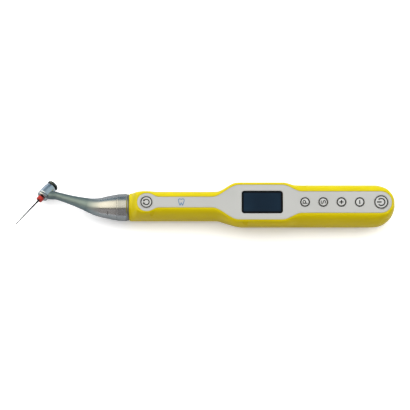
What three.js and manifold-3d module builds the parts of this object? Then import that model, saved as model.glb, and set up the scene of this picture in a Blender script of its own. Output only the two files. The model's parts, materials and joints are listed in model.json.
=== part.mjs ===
// Cordless endodontic motor: a wand-shaped handpiece with a display and keys on its front, and a
// steel contra-angle head that turns a root-canal file. Millimetres. The handpiece lies on its
// back along X with the head end at -X, its control panel faces +Z, and the origin is on the
// flat of its back, under the middle of the display.

import * as THREE from 'three';
import { mergeVertices } from 'three/addons/utils/BufferGeometryUtils.js';
import Module from 'manifold-3d';

const wasm = await Module();
wasm.setup();

// ---- Driving dimensions -------------------------------------------------------------------

const GAP = 0.3;               // between pieces that touch
const FRONT_Z = 25;            // plane of the control panel, above the back that it lies on
const NOSE_X = -89.2;          // head end of the plastic body
const TAIL_X = 88.7;           // round end of the plastic body
const SEAM_Z = 13;             // parting plane of the two shells
const WALL = 1.6;
const FRONT_WALL = 3;          // from the panel plane to the inside of the front shell

const NECK_HALF = 9.4;         // half widths of the body along its length
const DISPLAY_HALF = 15;
const TAIL_HALF = 13.9;

const PANEL_THICK = 1;
const PANEL_NECK_HALF = 3.6;   // half widths of the panel along its length
const PANEL_DISPLAY_HALF = 11.9;
const PANEL_TAIL_HALF = 7.35;
const PANEL_LOBE_R = 6.15;     // round end of the panel about the direction key
const PANEL_MARGIN = 2.25;     // from the panel's far end to the tail
const DIRECTION_KEY_X = -77.3;
const POWER_KEY_X = 79.3;
const KEY_X = { program_key: 28.5, set_key: 40.65, plus_key: 52.8, minus_key: 64.95 };
const SMALL_KEY_R = 3.25;
const POWER_KEY_R = 4.8;
const DIRECTION_KEY_R = 4.3;
const KEY_TRAVEL = 0.35;

const WINDOW = { long: 27.4, wide: 15.4, corner: 2, thick: 0.85 };

const AXIS_Z = 11;             // motor and contra-angle axis above the back
const MOTOR = { radius: 6.5, from: -74.5, to: -47 };
const SOCKET_R = 6.6;
const CELL = { radius: 8.25, from: 20, to: 70, z: 10.2 };
const SCREW_AT = [[-38, 0], [16.5, 8.6], [16.5, -8.6]];

const HEAD_ROLL = -21 * Math.PI / 180;    // how far the bend of the contra-angle is rolled about X
const NECK_ANGLE = 19.6 * Math.PI / 180;  // rise of the contra-angle's neck from the motor axis
const FILE_ANGLE = 53.4 * Math.PI / 180;  // fall of the file from the motor axis
const RING_X = -97.2;          // joint between the contra-angle's rear ring and its sleeve
const ELBOW_X = -110.8;
const NECK_LENGTH = 36.6;      // from the elbow to the head's axis
const HEAD_R = 4.05;
const NECK_HEIGHT = 4.5;       // of the neck's axis above the head's bottom face
const FILE_LENGTH = 28.4;      // of the file below the head's bottom face
const TEETH = 12;              // of each gear but the spindle's, which has twice as many

// ---- Solids and joining -------------------------------------------------------------------

// A closed solid from a closed three.js geometry, turned right side out.
function solid(geometry) {
  const bare = geometry.clone();
  bare.deleteAttribute('normal');
  bare.deleteAttribute('uv');
  const merged = mergeVertices(bare, 1e-5);
  const position = merged.attributes.position;
  const corner = [new THREE.Vector3(), new THREE.Vector3(), new THREE.Vector3()];
  const triangles = [];
  let volume = 0;
  for (let i = 0; i < merged.index.count; i += 3) {
    const triangle = [0, 1, 2].map((k) => merged.index.getX(i + k));
    if (new Set(triangle).size < 3) continue;
    triangle.forEach((vertex, k) => corner[k].fromBufferAttribute(position, vertex));
    volume += corner[0].dot(corner[1].clone().cross(corner[2]));
    triangles.push(triangle);
  }
  const order = volume < 0 ? triangles.map(([a, b, c]) => [a, c, b]) : triangles;
  return new wasm.Manifold(new wasm.Mesh({
    numProp: 3,
    vertProperties: new Float32Array(position.array),
    triVerts: new Uint32Array(order.flat()),
  }));
}

function geometryOf(body) {
  const mesh = body.getMesh();
  const geometry = new THREE.BufferGeometry();
  geometry.setAttribute('position', new THREE.BufferAttribute(mesh.vertProperties, 3));
  geometry.setIndex(new THREE.BufferAttribute(mesh.triVerts, 1));
  geometry.computeVertexNormals();
  return geometry;
}

function join(...bodies) {
  return bodies.reduce((all, body) => all.add(body));
}

function cut(body, ...tools) {
  return tools.reduce((left, tool) => left.subtract(tool), body);
}

// A body of revolution about X from a closed list of [radius, x] points.
function turned(profile, segments = 24, z = 0) {
  const points = [...profile, profile[0]].map(([radius, x]) => new THREE.Vector2(radius, x));
  const geometry = new THREE.LatheGeometry(points, segments);
  return solid(geometry.rotateZ(-Math.PI / 2).translate(0, 0, z));
}

// A plain rod about X, and one about Z.
function rod(radius, from, to, segments = 24, z = 0) {
  return turned([[0, from], [radius, from], [radius, to], [0, to]], segments, z);
}

function post(radius, x, y, from, to, segments = 24) {
  const geometry = new THREE.CylinderGeometry(radius, radius, to - from, segments);
  return solid(geometry.rotateX(Math.PI / 2).translate(x, y, (from + to) / 2));
}

// A ring about X, such as a bearing.
function ring(outer, inner, from, to, segments = 18, z = 0) {
  return turned([[inner, from], [outer, from], [outer, to], [inner, to]], segments, z);
}

function block(x0, x1, y0, y1, z0, z1) {
  const geometry = new THREE.BoxGeometry(x1 - x0, y1 - y0, z1 - z0);
  return solid(geometry.translate((x0 + x1) / 2, (y0 + y1) / 2, (z0 + z1) / 2));
}

function slab(shape, from, to, curveSegments = 8) {
  const options = { depth: to - from, bevelEnabled: false, curveSegments };
  return solid(new THREE.ExtrudeGeometry(shape, options).translate(0, 0, from));
}

function roundedPlate(long, wide, corner, x = 0, y = 0) {
  const shape = new THREE.Shape();
  const a = long / 2 - corner;
  const b = wide / 2 - corner;
  shape.absarc(x + a, y + b, corner, 0, Math.PI / 2);
  shape.absarc(x - a, y + b, corner, Math.PI / 2, Math.PI);
  shape.absarc(x - a, y - b, corner, Math.PI, Math.PI * 1.5);
  shape.absarc(x + a, y - b, corner, Math.PI * 1.5, Math.PI * 2);
  return shape;
}

// The skin over a row of rings, each a list of the same number of points, closed at both ends.
function skin(rings) {
  const count = rings[0].length;
  const vertices = rings.flat().flatMap((p) => [p.x, p.y, p.z]);
  const index = [];
  for (let r = 0; r + 1 < rings.length; r += 1) {
    for (let i = 0; i < count; i += 1) {
      const a = r * count + i;
      const b = r * count + (i + 1) % count;
      index.push(a, b, a + count, b, b + count, a + count);
    }
  }
  for (const last of [false, true]) {
    const ends = last ? rings.at(-1) : rings[0];
    const first = last ? (rings.length - 1) * count : 0;
    const middle = ends.reduce((sum, p) => sum.add(p), new THREE.Vector3()).divideScalar(count);
    const hub = vertices.length / 3;
    vertices.push(middle.x, middle.y, middle.z);
    for (let i = 0; i < count; i += 1) {
      const a = first + i;
      const b = first + (i + 1) % count;
      index.push(...(last ? [a, b, hub] : [b, a, hub]));
    }
  }
  const geometry = new THREE.BufferGeometry();
  geometry.setAttribute('position', new THREE.Float32BufferAttribute(vertices, 3));
  geometry.setIndex(index);
  return solid(geometry);
}

// A round wire along a curve.
function wire(curve, radius, steps, sides = 8) {
  const section = new THREE.Shape();
  section.absarc(0, 0, radius, 0, Math.PI * 2);
  const options = { steps, extrudePath: curve, curveSegments: sides / 2 };
  return solid(new THREE.ExtrudeGeometry(section, options));
}

function steps(from, to, count) {
  return Array.from({ length: count }, (_, i) => from + (to - from) * i / count);
}

// ---- The body's outside -------------------------------------------------------------------

function blend(x, from, to, a, b) {
  return THREE.MathUtils.lerp(a, b, THREE.MathUtils.smoothstep(x, from, to));
}

// Half of a circle's chord at x, or zero outside it.
function chord(x, centre, radius) {
  return Math.sqrt(Math.max(0, radius ** 2 - (x - centre) ** 2));
}

// Half width of the control panel at x: a lobe round the direction key, a narrow strip along
// the neck, a wide field round the display, and a strip with a round end along the keys.
function panelHalf(x) {
  const lobeShoulder = DIRECTION_KEY_X + 0.8;
  const endCentre = TAIL_X - PANEL_MARGIN - PANEL_TAIL_HALF;
  if (x < DIRECTION_KEY_X) return chord(x, DIRECTION_KEY_X, PANEL_LOBE_R);
  if (x > endCentre) return chord(x, endCentre, PANEL_TAIL_HALF);
  if (x < -50) return blend(x, lobeShoulder, lobeShoulder + 7.5, PANEL_LOBE_R, PANEL_NECK_HALF);
  if (x < 0) return blend(x, -33.5, -15.5, PANEL_NECK_HALF, PANEL_DISPLAY_HALF);
  return blend(x, 13.5, 26.5, PANEL_DISPLAY_HALF, PANEL_TAIL_HALF);
}

const PANEL_FROM = DIRECTION_KEY_X - PANEL_LOBE_R;
const PANEL_TO = TAIL_X - PANEL_MARGIN;

// Half width of the flat that the panel lies in. It outlasts the panel's round ends, so that
// the shoulders stay smooth there.
function flatHalf(x) {
  if (x < DIRECTION_KEY_X) return blend(-x, 79, 88, PANEL_LOBE_R, 2);
  if (x > 70) return blend(x, 82.5, TAIL_X, PANEL_TAIL_HALF, 2);
  return panelHalf(x);
}

// Half width of the body at its widest, and of its lower half.
function bodyHalf(x) {
  if (x > 40) return x > TAIL_X - TAIL_HALF ? chord(x, TAIL_X - TAIL_HALF, TAIL_HALF) : TAIL_HALF;
  return x < 0 ? blend(x, -30.5, -17, NECK_HALF, DISPLAY_HALF)
    : blend(x, 14.5, 21.5, DISPLAY_HALF, TAIL_HALF);
}

function lowerHalf(x) {
  return Math.min(bodyHalf(x), blend(x, -33, -13, NECK_HALF, TAIL_HALF));
}

// Front and back of the body on its middle line. Both round over towards the tail.
function frontAt(x) {
  const end = (x - PANEL_TO) / (TAIL_X - PANEL_TO);
  return end <= 0 ? FRONT_Z : FRONT_Z - 8 * (1 - Math.sqrt(Math.max(0, 1 - end ** 2)));
}

function backAt(x) {
  const end = (x - 69) / (TAIL_X - 69);
  return end <= 0 ? 0 : 15.5 * (1 - Math.sqrt(Math.max(0, 1 - end ** 2)));
}

// The section of the body at x, inside the surface by the given walls: flat where the panel
// lies, an elliptical shoulder, a short side, a large round corner and a narrow flat back.
const SHOULDER_STEPS = 4;
const CORNER_STEPS = 4;

function halfSection(x, wall, frontWall) {
  const front = frontAt(x) - frontWall;
  const back = backAt(x) + wall;
  const depth = front - back;
  const wide = Math.max(bodyHalf(x) - wall, 0.02);
  const low = Math.max(lowerHalf(x) - wall, 0.02);
  const flat = Math.min(flatHalf(x) + 0.35, wide * 0.97);
  const rest = Math.min(blend(x, -33, -15, 2.2, 4), low * 0.6);
  const shoulder = Math.min(x < 0 ? blend(x, -31, -16, 11, 8) : blend(x, 14, 24, 8, 11), depth / 2);
  const corner = Math.min(12.6 - wall, depth / 2);
  const points = [[flat / 2, front]];
  for (let i = 0; i <= SHOULDER_STEPS; i += 1) {
    const angle = (Math.PI / 2) * (i / SHOULDER_STEPS);
    points.push([flat + (wide - flat) * Math.sin(angle),
      front - shoulder * (1 - Math.cos(angle))]);
  }
  for (let i = 0; i <= CORNER_STEPS; i += 1) {
    const angle = (Math.PI / 2) * (i / CORNER_STEPS);
    points.push([rest + (low - rest) * Math.cos(angle),
      back + corner * (1 - Math.sin(angle))]);
  }
  points.push([rest / 2, back]);
  return points;
}

// Towards the nose the section turns into a circle about the motor axis.
function bodySection(x, wall = 0, frontWall = 0) {
  const half = halfSection(x, wall, frontWall);
  const turn = THREE.MathUtils.smoothstep(-x, -PANEL_FROM, 88);
  const lip = Math.max(0, -88 - x);
  const radius = NECK_HALF - wall - 0.75 * lip ** 2;
  const mixed = half.map(([y, z], i) => {
    const angle = Math.PI * (i + 0.5) / half.length;
    return [THREE.MathUtils.lerp(y, radius * Math.sin(angle), turn),
      THREE.MathUtils.lerp(z, AXIS_Z + radius * Math.cos(angle), turn)];
  });
  const mirrored = mixed.map(([y, z]) => [-y, z]).reverse();
  return [...mixed, ...mirrored].map(([y, z]) => new THREE.Vector3(x, y, z));
}

function roundedSteps(from, to, count) {
  return Array.from({ length: count }, (_, i) =>
    from + (to - from) * Math.sin((Math.PI / 2) * (i / count)));
}

function bodyOutside() {
  const at = [NOSE_X, -88.9, -88.5, -88, ...steps(-87, PANEL_FROM, 3),
    ...steps(PANEL_FROM, -68.5, 10), -68.5, -34, ...steps(-32, -14, 9), -14, 13,
    ...steps(14.5, 27, 6), 27, ...steps(66, PANEL_TO, 11), ...roundedSteps(PANEL_TO, TAIL_X, 5),
    TAIL_X - 0.03];
  return skin(at.map((x) => bodySection(x)));
}

function bodyInside() {
  const at = [NOSE_X + 3, -82, -76, -68.5, -34, ...steps(-32, -14, 4), -14, 13,
    ...steps(15, 27, 3), 27, ...steps(68, TAIL_X - 3.2, 5), TAIL_X - 3.2];
  return skin(at.map((x) => bodySection(x, WALL, FRONT_WALL)));
}

// ---- Control panel, window and keys -------------------------------------------------------

function panelShape(grow) {
  const along = [...roundedSteps(DIRECTION_KEY_X, PANEL_FROM, 10).reverse(),
    ...steps(DIRECTION_KEY_X + 0.8, -68.5, 6), -68.5, ...steps(-33.5, -15.5, 10), -15.5,
    ...steps(13.5, 26.5, 8), 26.5, ...roundedSteps(PANEL_TO - PANEL_TAIL_HALF, PANEL_TO, 10)];
  const edge = along.map((x) => new THREE.Vector2(x, panelHalf(x) + grow));
  const far = edge.map((p) => new THREE.Vector2(p.x, -p.y)).reverse();
  return new THREE.Shape([new THREE.Vector2(PANEL_FROM - grow, 0), ...edge,
    new THREE.Vector2(PANEL_TO + grow, 0), ...far]);
}

function keyPlaces() {
  const small = Object.entries(KEY_X).map(([name, x]) => ({ name, x, radius: SMALL_KEY_R }));
  return [{ name: 'direction_key', x: DIRECTION_KEY_X, radius: DIRECTION_KEY_R }, ...small,
    { name: 'power_key', x: POWER_KEY_X, radius: POWER_KEY_R }];
}

const PANEL_BACK_Z = FRONT_Z - PANEL_THICK;
const STEM_Z = FRONT_Z - FRONT_WALL - 0.1;      // foot of a key's stem
const SWITCH_TOP_Z = STEM_Z - KEY_TRAVEL - GAP;
const BOARD_TOP_Z = SWITCH_TOP_Z - 1.5;
const BOARD_Z = BOARD_TOP_Z - 1;

function controlPanel() {
  let plate = slab(panelShape(0), PANEL_BACK_Z, FRONT_Z);
  const opening = roundedPlate(WINDOW.long + 0.5, WINDOW.wide + 0.5, WINDOW.corner);
  plate = cut(plate, slab(opening, PANEL_BACK_Z - 1, FRONT_Z + 1));
  for (const key of keyPlaces()) {
    const hole = post(key.radius + 0.25, key.x, 0, PANEL_BACK_Z - 1, FRONT_Z + 1, 24);
    plate = cut(plate, hole);
  }
  return plate;
}

// A key cap: a low button in the panel on a stem through the shell.
function keyCap(key) {
  const stem = key.radius - 1.4;
  return join(
    post(key.radius, key.x, 0, PANEL_BACK_Z + 0.15, FRONT_Z + 0.12, 24),
    post(stem, key.x, 0, STEM_Z, PANEL_BACK_Z + 0.3, 16),
  );
}

// ---- Shells -------------------------------------------------------------------------------

function frontShell(outside, inside) {
  const shape = panelShape(GAP);
  const recess = slab(shape, PANEL_BACK_Z - GAP, FRONT_Z + 2);
  const opening = roundedPlate(WINDOW.long - 3, WINDOW.wide - 3, 1);
  const half = block(-100, 100, -20, 20, SEAM_Z + GAP / 2, FRONT_Z + 5);
  let shell = outside.subtract(inside).intersect(half);
  shell = cut(shell, recess, slab(opening, FRONT_Z - FRONT_WALL - 1, FRONT_Z));
  for (const key of keyPlaces()) {
    shell = cut(shell, post(key.radius - 1.1, key.x, 0, STEM_Z - 1, FRONT_Z, 16));
  }
  for (const [x, y] of SCREW_AT) {
    const pillar = post(2.5, x, y, 8.4, FRONT_Z - FRONT_WALL + 0.5, 16).intersect(outside);
    shell = cut(shell.add(pillar), post(1.3, x, y, 8, 16, 12));
  }
  return cut(shell, socketBore());
}

function rearShell(outside, inside) {
  const half = block(-100, 100, -20, 20, -1, SEAM_Z - GAP / 2);
  let shell = outside.subtract(inside).intersect(half);
  for (const [x, y] of SCREW_AT) {
    const seat = post(3.4, x, y, -1, 8.1, 20).intersect(outside);
    shell = cut(shell.add(seat), post(2.4, x, y, -1, 4.6, 20), post(1.3, x, y, 4, 9, 12));
  }
  for (const x of CHARGE_X) {
    shell = cut(shell, post(1.8, x, 0, -1, 5, 20));
  }
  return cut(shell, socketBore());
}

function socketBore() {
  return rod(SOCKET_R + GAP, NOSE_X - 2, NOSE_X + 6, 28, AXIS_Z);
}

function shellScrew([x, y]) {
  const slot = block(x - 3, x + 3, y - 0.3, y + 0.3, 0, 3.5);
  return cut(join(post(2, x, y, 2.9, 4.3, 20), post(1, x, y, 4.2, 14.5, 12)), slot);
}

// ---- Electronics --------------------------------------------------------------------------

const CHARGE_X = [-8, -16];

function mainBoard() {
  const outline = new THREE.Shape();
  outline.moveTo(-28, -6);
  outline.lineTo(-16, -10);
  outline.lineTo(12, -10);
  outline.lineTo(22, -9);
  outline.lineTo(76, -9);
  outline.lineTo(82, -4);
  outline.lineTo(82, 4);
  outline.lineTo(76, 9);
  outline.lineTo(22, 9);
  outline.lineTo(12, 10);
  outline.lineTo(-16, 10);
  outline.lineTo(-28, 6);
  const chips = [[-14, -8, -3, 3], [-4, 6, -4, 4], [9, 14, -5, -1]].map(([x0, x1, y0, y1]) =>
    block(x0, x1, y0, y1, BOARD_Z - 1.2, BOARD_Z + 0.1));
  const bosses = SCREW_AT.slice(1).map(([x, y]) => post(2.9, x, y, 0, FRONT_Z, 16));
  return cut(join(slab(outline, BOARD_Z, BOARD_TOP_Z), ...chips), ...bosses);
}

function displayModule() {
  const top = FRONT_Z - FRONT_WALL - GAP;
  return slab(roundedPlate(WINDOW.long - 1, WINDOW.wide - 1, 0.6), BOARD_TOP_Z + GAP, top, 2);
}

function displayWindow() {
  const foot = PANEL_BACK_Z - 0.05;
  return slab(roundedPlate(WINDOW.long, WINDOW.wide, WINDOW.corner), foot, foot + WINDOW.thick);
}

function tactSwitch(key) {
  const body = block(key.x - 1.9, key.x + 1.9, -1.9, 1.9, BOARD_TOP_Z + GAP, BOARD_TOP_Z + 1.1);
  return join(body, post(1, key.x, 0, BOARD_TOP_Z + 1, SWITCH_TOP_Z, 14));
}

function chargeContact(x) {
  return join(post(1.5, x, 0, 0.35, 3.2, 20), post(0.6, x, 0, 3, 6, 10));
}

function batterySpring() {
  class Coil extends THREE.Curve {
    getPoint(t, target = new THREE.Vector3()) {
      const angle = t * Math.PI * 2 * 3;
      const radius = 5 - 2 * t;
      return target.set(CELL.to + 0.8 + 3.6 * t, radius * Math.cos(angle),
        CELL.z + radius * Math.sin(angle));
    }
  }
  return wire(new Coil(), 0.35, 30, 6);
}

function batteryCell() {
  const { radius, from, to, z } = CELL;
  return turned([[0, from], [2.8, from], [2.8, from + 1], [radius - 0.8, from + 1],
    [radius, from + 1.8], [radius, to - 0.6], [radius - 0.6, to], [0, to]], 28, z);
}

function lead(from, to, y) {
  const middle = new THREE.Vector3((from.x + to.x) / 2, y, (from.z + to.z) / 2 + 1.5);
  return wire(new THREE.CatmullRomCurve3([from, middle, to]), 0.5, 10, 8);
}

// ---- Motor and nose -----------------------------------------------------------------------

function motorCan() {
  const { radius, from, to } = MOTOR;
  return turned([[2.4, from - 1.6], [3.6, from - 1.6], [3.6, from], [radius - 0.4, from],
    [radius, from + 0.4], [radius, to - 1.4], [radius - 0.9, to - 1.4],
    [radius - 0.9, from + 1.2], [2.4, from + 1.2]], 28, AXIS_Z);
}

function motorEndCap() {
  const { radius, to } = MOTOR;
  return turned([[0, to - 1.1], [radius - 0.2, to - 1.1], [radius - 0.2, to], [1.8, to],
    [1.8, to + 1], [0, to + 1]], 28, AXIS_Z);
}

function motorRotor() {
  const { radius, from, to } = MOTOR;
  const drum = radius - 1.6;
  return turned([[0, from - 5], [1, from - 5], [1, from + 2.2], [drum, from + 2.2],
    [drum, to - 3], [1, to - 3], [1, to - 1.6], [0, to - 1.6]], 20, AXIS_Z);
}

function motorBearing() {
  return ring(2.15, 1.3, MOTOR.from - 1.5, MOTOR.from + 0.9, 20, AXIS_Z);
}

// A hub about X with teeth on its face, which points along +X or -X.
function toothedDisc({ outer, inner, bore, back, face, tooth, count, turn = 0 }) {
  const side = Math.sign(face - back);
  const hub = ring(outer, bore, Math.min(back, face), Math.max(back, face), 24);
  const teeth = steps(turn, turn + Math.PI * 2, count).map((angle) => {
    const box = new THREE.BoxGeometry(tooth.high + 0.2, tooth.wide, outer - inner - 0.1);
    box.translate(face + side * (tooth.high - 0.2) / 2, 0, (outer + inner) / 2 - 0.05);
    return solid(box.rotateX(angle));
  });
  return join(hub, ...teeth);
}

const DOG = { outer: 3.4, inner: 2.2, tooth: { high: 1, wide: 0.35 }, count: TEETH };
const DOG_FACE = MOTOR.from - 4.6;      // face of the motor's half of the dog clutch

function motorDog() {
  const half = toothedDisc({ ...DOG, bore: 1.3, back: DOG_FACE + 1.6, face: DOG_FACE });
  return half.translate(0, 0, AXIS_Z);
}

function noseSocket() {
  return turned([[5.5, NOSE_X - 1.1], [8.5, NOSE_X - 1.1], [8.9, NOSE_X - 0.7],
    [8.9, NOSE_X - GAP], [SOCKET_R, NOSE_X - GAP], [SOCKET_R, MOTOR.from - 2],
    [5.5, MOTOR.from - 2]], 28, AXIS_Z);
}

// ---- Contra-angle, in its own frame: X along the motor axis, +Y towards its bend -----------

const TAIL_R = 5.2;
const O_RING_X = NOSE_X + 4.6;

function rearRing() {
  const front = RING_X + GAP / 2;
  const back = NOSE_X - 1.1 - GAP;
  const groove = O_RING_X - 0.4;
  return turned([[4.3, front], [8.7, front], [8.95, front + 0.3], [9.25, back - 0.5],
    [8.9, back], [TAIL_R, back], [TAIL_R, groove], [4.75, groove], [4.75, groove + 0.8],
    [TAIL_R, groove + 0.8], [TAIL_R, MOTOR.from - 3], [4.3, MOTOR.from - 3]], 28);
}

function couplingORing() {
  return solid(new THREE.TorusGeometry(TAIL_R, 0.22, 6, 24).rotateY(Math.PI / 2)
    .translate(O_RING_X, 0, 0));
}

// The shaft from the motor's dog clutch to the elbow, with a face gear at its far end.
const ELBOW_GEAR = { outer: 2.65, inner: 1.9, tooth: { high: 0.9, wide: 0.33 }, count: TEETH };
const ELBOW_FACE = 0.98;       // from the elbow to the face of each gear

function driveShaft() {
  const face = DOG_FACE - 1 - GAP;
  const turn = Math.PI / TEETH - HEAD_ROLL;
  const gear = ELBOW_X + ELBOW_FACE;
  return join(
    rod(1.2, gear + 0.5, face - 1, 16),
    toothedDisc({ ...DOG, bore: 0.6, back: face - 1.8, face, turn }),
    toothedDisc({ ...ELBOW_GEAR, bore: 0.6, back: gear + 1.2, face: gear }),
  );
}

// The neck's shaft, in a frame with X from the head's axis out along the neck: a face gear at
// the elbow and a small pinion in the head.
const PINION = { from: 2.55, to: 3.35, root: 0.85, tip: 1.15 };

function neckShaft() {
  const face = NECK_LENGTH - ELBOW_FACE;
  const teeth = steps(0, Math.PI * 2, TEETH).map((angle) => {
    const box = new THREE.BoxGeometry(PINION.to - PINION.from, PINION.tip, 0.2);
    box.translate((PINION.to + PINION.from) / 2, PINION.tip / 2, 0);
    return solid(box.rotateX(angle));
  });
  return join(
    rod(0.65, PINION.from, face - 0.5, 14),
    rod(PINION.root, PINION.from, PINION.to, 16),
    ...teeth,
    toothedDisc({ ...ELBOW_GEAR, bore: 0.5, back: face - 1.2, face, turn: Math.PI / TEETH }),
  );
}

// Middle line of the sleeve and neck: straight, a soft bend at the elbow, straight to the head.
function neckPath() {
  const elbow = new THREE.Vector3(ELBOW_X, 0, 0);
  const along = new THREE.Vector3(-Math.cos(NECK_ANGLE), Math.sin(NECK_ANGLE), 0);
  const path = new THREE.CurvePath();
  const before = new THREE.Vector3(ELBOW_X + 5.5, 0, 0);
  const after = elbow.clone().addScaledVector(along, 5.5);
  path.add(new THREE.LineCurve3(new THREE.Vector3(RING_X - GAP / 2, 0, 0), before));
  path.add(new THREE.QuadraticBezierCurve3(before, elbow, after));
  path.add(new THREE.LineCurve3(after, elbow.clone().addScaledVector(along, NECK_LENGTH)));
  return path;
}

// Outer radius of the sleeve and neck against the distance along their middle line.
const NECK_TAPER = new THREE.SplineCurve([[0, 8.75], [7, 7.45], [14, 5.9], [20, 4.65],
  [27, 3.6], [36, 2.85], [52, 2.35]].map(([far, radius]) => new THREE.Vector2(far, radius)));

function neckSkin(inset, count, segments) {
  const path = neckPath();
  const length = path.getLength();
  const rings = Array.from({ length: count + 1 }, (_, r) => {
    const share = r / count;
    const centre = path.getPointAt(share);
    const along = path.getTangentAt(share);
    const across = new THREE.Vector3(-along.y, along.x, 0);
    const radius = neckRadius(share * length) - inset;
    return Array.from({ length: segments }, (_unused, i) => {
      const angle = (Math.PI * 2 * i) / segments;
      return centre.clone().addScaledVector(across, radius * Math.cos(angle))
        .add(new THREE.Vector3(0, 0, radius * Math.sin(angle)));
    });
  });
  return skin(rings);
}

function neckRadius(far) {
  const points = NECK_TAPER.points;
  const next = Math.max(1, points.findIndex((p) => p.x >= far));
  const share = (far - points[next - 1].x) / (points[next].x - points[next - 1].x);
  return NECK_TAPER.getPoint((next - 1 + share) / (points.length - 1)).y;
}

// Frames of the neck's shaft and of the head, as placements in the contra-angle's frame.
const HEAD_AXIS = new THREE.Vector3(Math.cos(FILE_ANGLE), Math.sin(FILE_ANGLE), 0);
const NECK_END = new THREE.Vector3(ELBOW_X - NECK_LENGTH * Math.cos(NECK_ANGLE),
  NECK_LENGTH * Math.sin(NECK_ANGLE), 0);
const HEAD_BOTTOM = NECK_END.clone().addScaledVector(HEAD_AXIS, -NECK_HEIGHT);

function inHeadFrame(body) {
  return body.rotate([0, 0, FILE_ANGLE * 180 / Math.PI]).translate(HEAD_BOTTOM.toArray());
}

function contraBody() {
  const outside = neckSkin(0, 22, 24);
  const hollow = neckSkin(1.15, 10, 16);
  const mouth = rod(7.4, RING_X - 3, RING_X + 1, 24);
  const head = inHeadFrame(rod(HEAD_R + GAP, -3, 16, 28));
  return cut(outside, hollow, mouth, head);
}

// ---- Head, in its own frame: X up the head's axis from its bottom face ---------------------

const CAP_TRAVEL = 0.8;

function headHousing() {
  const barrel = turned([[3.3, 1.9], [HEAD_R - 0.25, 1.9], [HEAD_R, 2.3], [HEAD_R, 8.3],
    [HEAD_R - 0.35, 9.4], [HEAD_R - 0.35, 9.9], [3.1, 9.9], [3.1, 9.3], [3.3, 9.3]], 28);
  const port = rod(1.85, 1, 6, 20).rotate([0, 0, -90 + neckTilt()]).translate([NECK_HEIGHT, 0, 0]);
  return cut(barrel, port);
}

// Angle in degrees from square-on at which the neck's axis leaves the head's axis.
function neckTilt() {
  return 90 - (FILE_ANGLE + NECK_ANGLE) * 180 / Math.PI;
}

function headNut() {
  return turned([[2.1, 0], [3.4, 0], [3.85, 0.5], [3.85, 1.6], [2.1, 1.6]], 28);
}

function pushCap() {
  const top = 13.2;
  const foot = 9.6 + CAP_TRAVEL;
  const rim = foot + 0.6;
  return turned([[0, foot], [2.6, foot], [2.6, rim], [3.6, rim], [3.95, rim + 0.3],
    [3.95, rim + 1], [3.6, rim + 1.5], [2.7, top - 0.3], [1.4, top - 0.05], [0, top]], 28);
}

function capSpring() {
  return turned([[2, 9.25], [2.9, 9.1], [2.9, 9.3], [2, 9.45]], 24);
}

// The hollow spindle that grips the file, with a crown gear that the pinion drives.
const CROWN = { outer: 3.05, inner: 2.15, root: 6.8, tooth: { high: 0.4, wide: 0.22 } };

function spindle() {
  const crown = toothedDisc({ outer: CROWN.outer, inner: CROWN.inner, bore: 1.6,
    back: CROWN.root + 0.6, face: CROWN.root, tooth: CROWN.tooth, count: TEETH * 2,
    turn: Math.PI / (TEETH * 2) });
  return join(ring(1.75, 1.4, 0.3, 9.05, 20), crown);
}

function rootCanalFile() {
  const tip = -FILE_LENGTH;
  return turned([[0, tip], [0.22, tip + 0.2], [0.56, -8], [0.62, -0.6], [1.15, -0.3],
    [1.15, 6.4], [0.75, 6.6], [0.75, 7.4], [1.15, 7.6], [1.15, 8.4], [0.9, 8.6], [0, 8.6]], 14);
}

function fileStop() {
  return turned([[0.75, -3.4], [1.9, -3.4], [2.2, -3.1], [2.2, -0.9], [1.9, -0.6], [0.75, -0.6]],
    20);
}

// ---- The assembly -------------------------------------------------------------------------

const LOOKS = {
  yellow: [0xd9cb12, 0.25, 0],
  panel: [0xcfcfcd, 0.5, 0],
  key: [0xd6d7d4, 0.5, 0],
  window: [0x1f2c3a, 0.1, 0],
  steel: [0xb4bcc0, 0.25, 1],
  dark: [0x2a3036, 0.4, 0.6],
  brass: [0xc9a24a, 0.3, 1],
  board: [0x1f5a38, 0.5, 0],
  cell: [0x2f6fa8, 0.4, 0],
  rubber: [0x26282a, 0.7, 0],
  red: [0xd0341f, 0.5, 0],
};

function add(parent, name, body, look) {
  const [color, roughness, metalness] = LOOKS[look];
  const material = new THREE.MeshStandardMaterial({ color, roughness, metalness });
  const mesh = new THREE.Mesh(geometryOf(body), material);
  mesh.name = name;
  parent.add(mesh);
}

function addHandpiece(parent) {
  const outside = bodyOutside();
  const inside = bodyInside();
  add(parent, 'front_shell', frontShell(outside, inside), 'yellow');
  add(parent, 'rear_shell', rearShell(outside, inside), 'yellow');
  add(parent, 'control_panel', controlPanel(), 'panel');
  add(parent, 'display_window', displayWindow(), 'window');
  add(parent, 'display_module', displayModule(), 'dark');
  add(parent, 'main_board', mainBoard(), 'board');
  add(parent, 'neck_board', block(-83, -71, -4, 4, BOARD_Z, BOARD_TOP_Z), 'board');
  add(parent, 'ribbon_cable', block(-70.7, -28.3, 3.2, 5.8, BOARD_Z + 0.3, BOARD_Z + 0.6),
    'brass');
  for (const key of keyPlaces()) {
    add(parent, key.name, keyCap(key), 'key');
    add(parent, key.name.replace('_key', '_switch'), tactSwitch(key), 'dark');
  }
  SCREW_AT.forEach((place, i) => add(parent, `shell_screw_${i + 1}`, shellScrew(place), 'steel'));
  CHARGE_X.forEach((x, i) => add(parent, `charge_contact_${i + 1}`, chargeContact(x), 'brass'));
}

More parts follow.
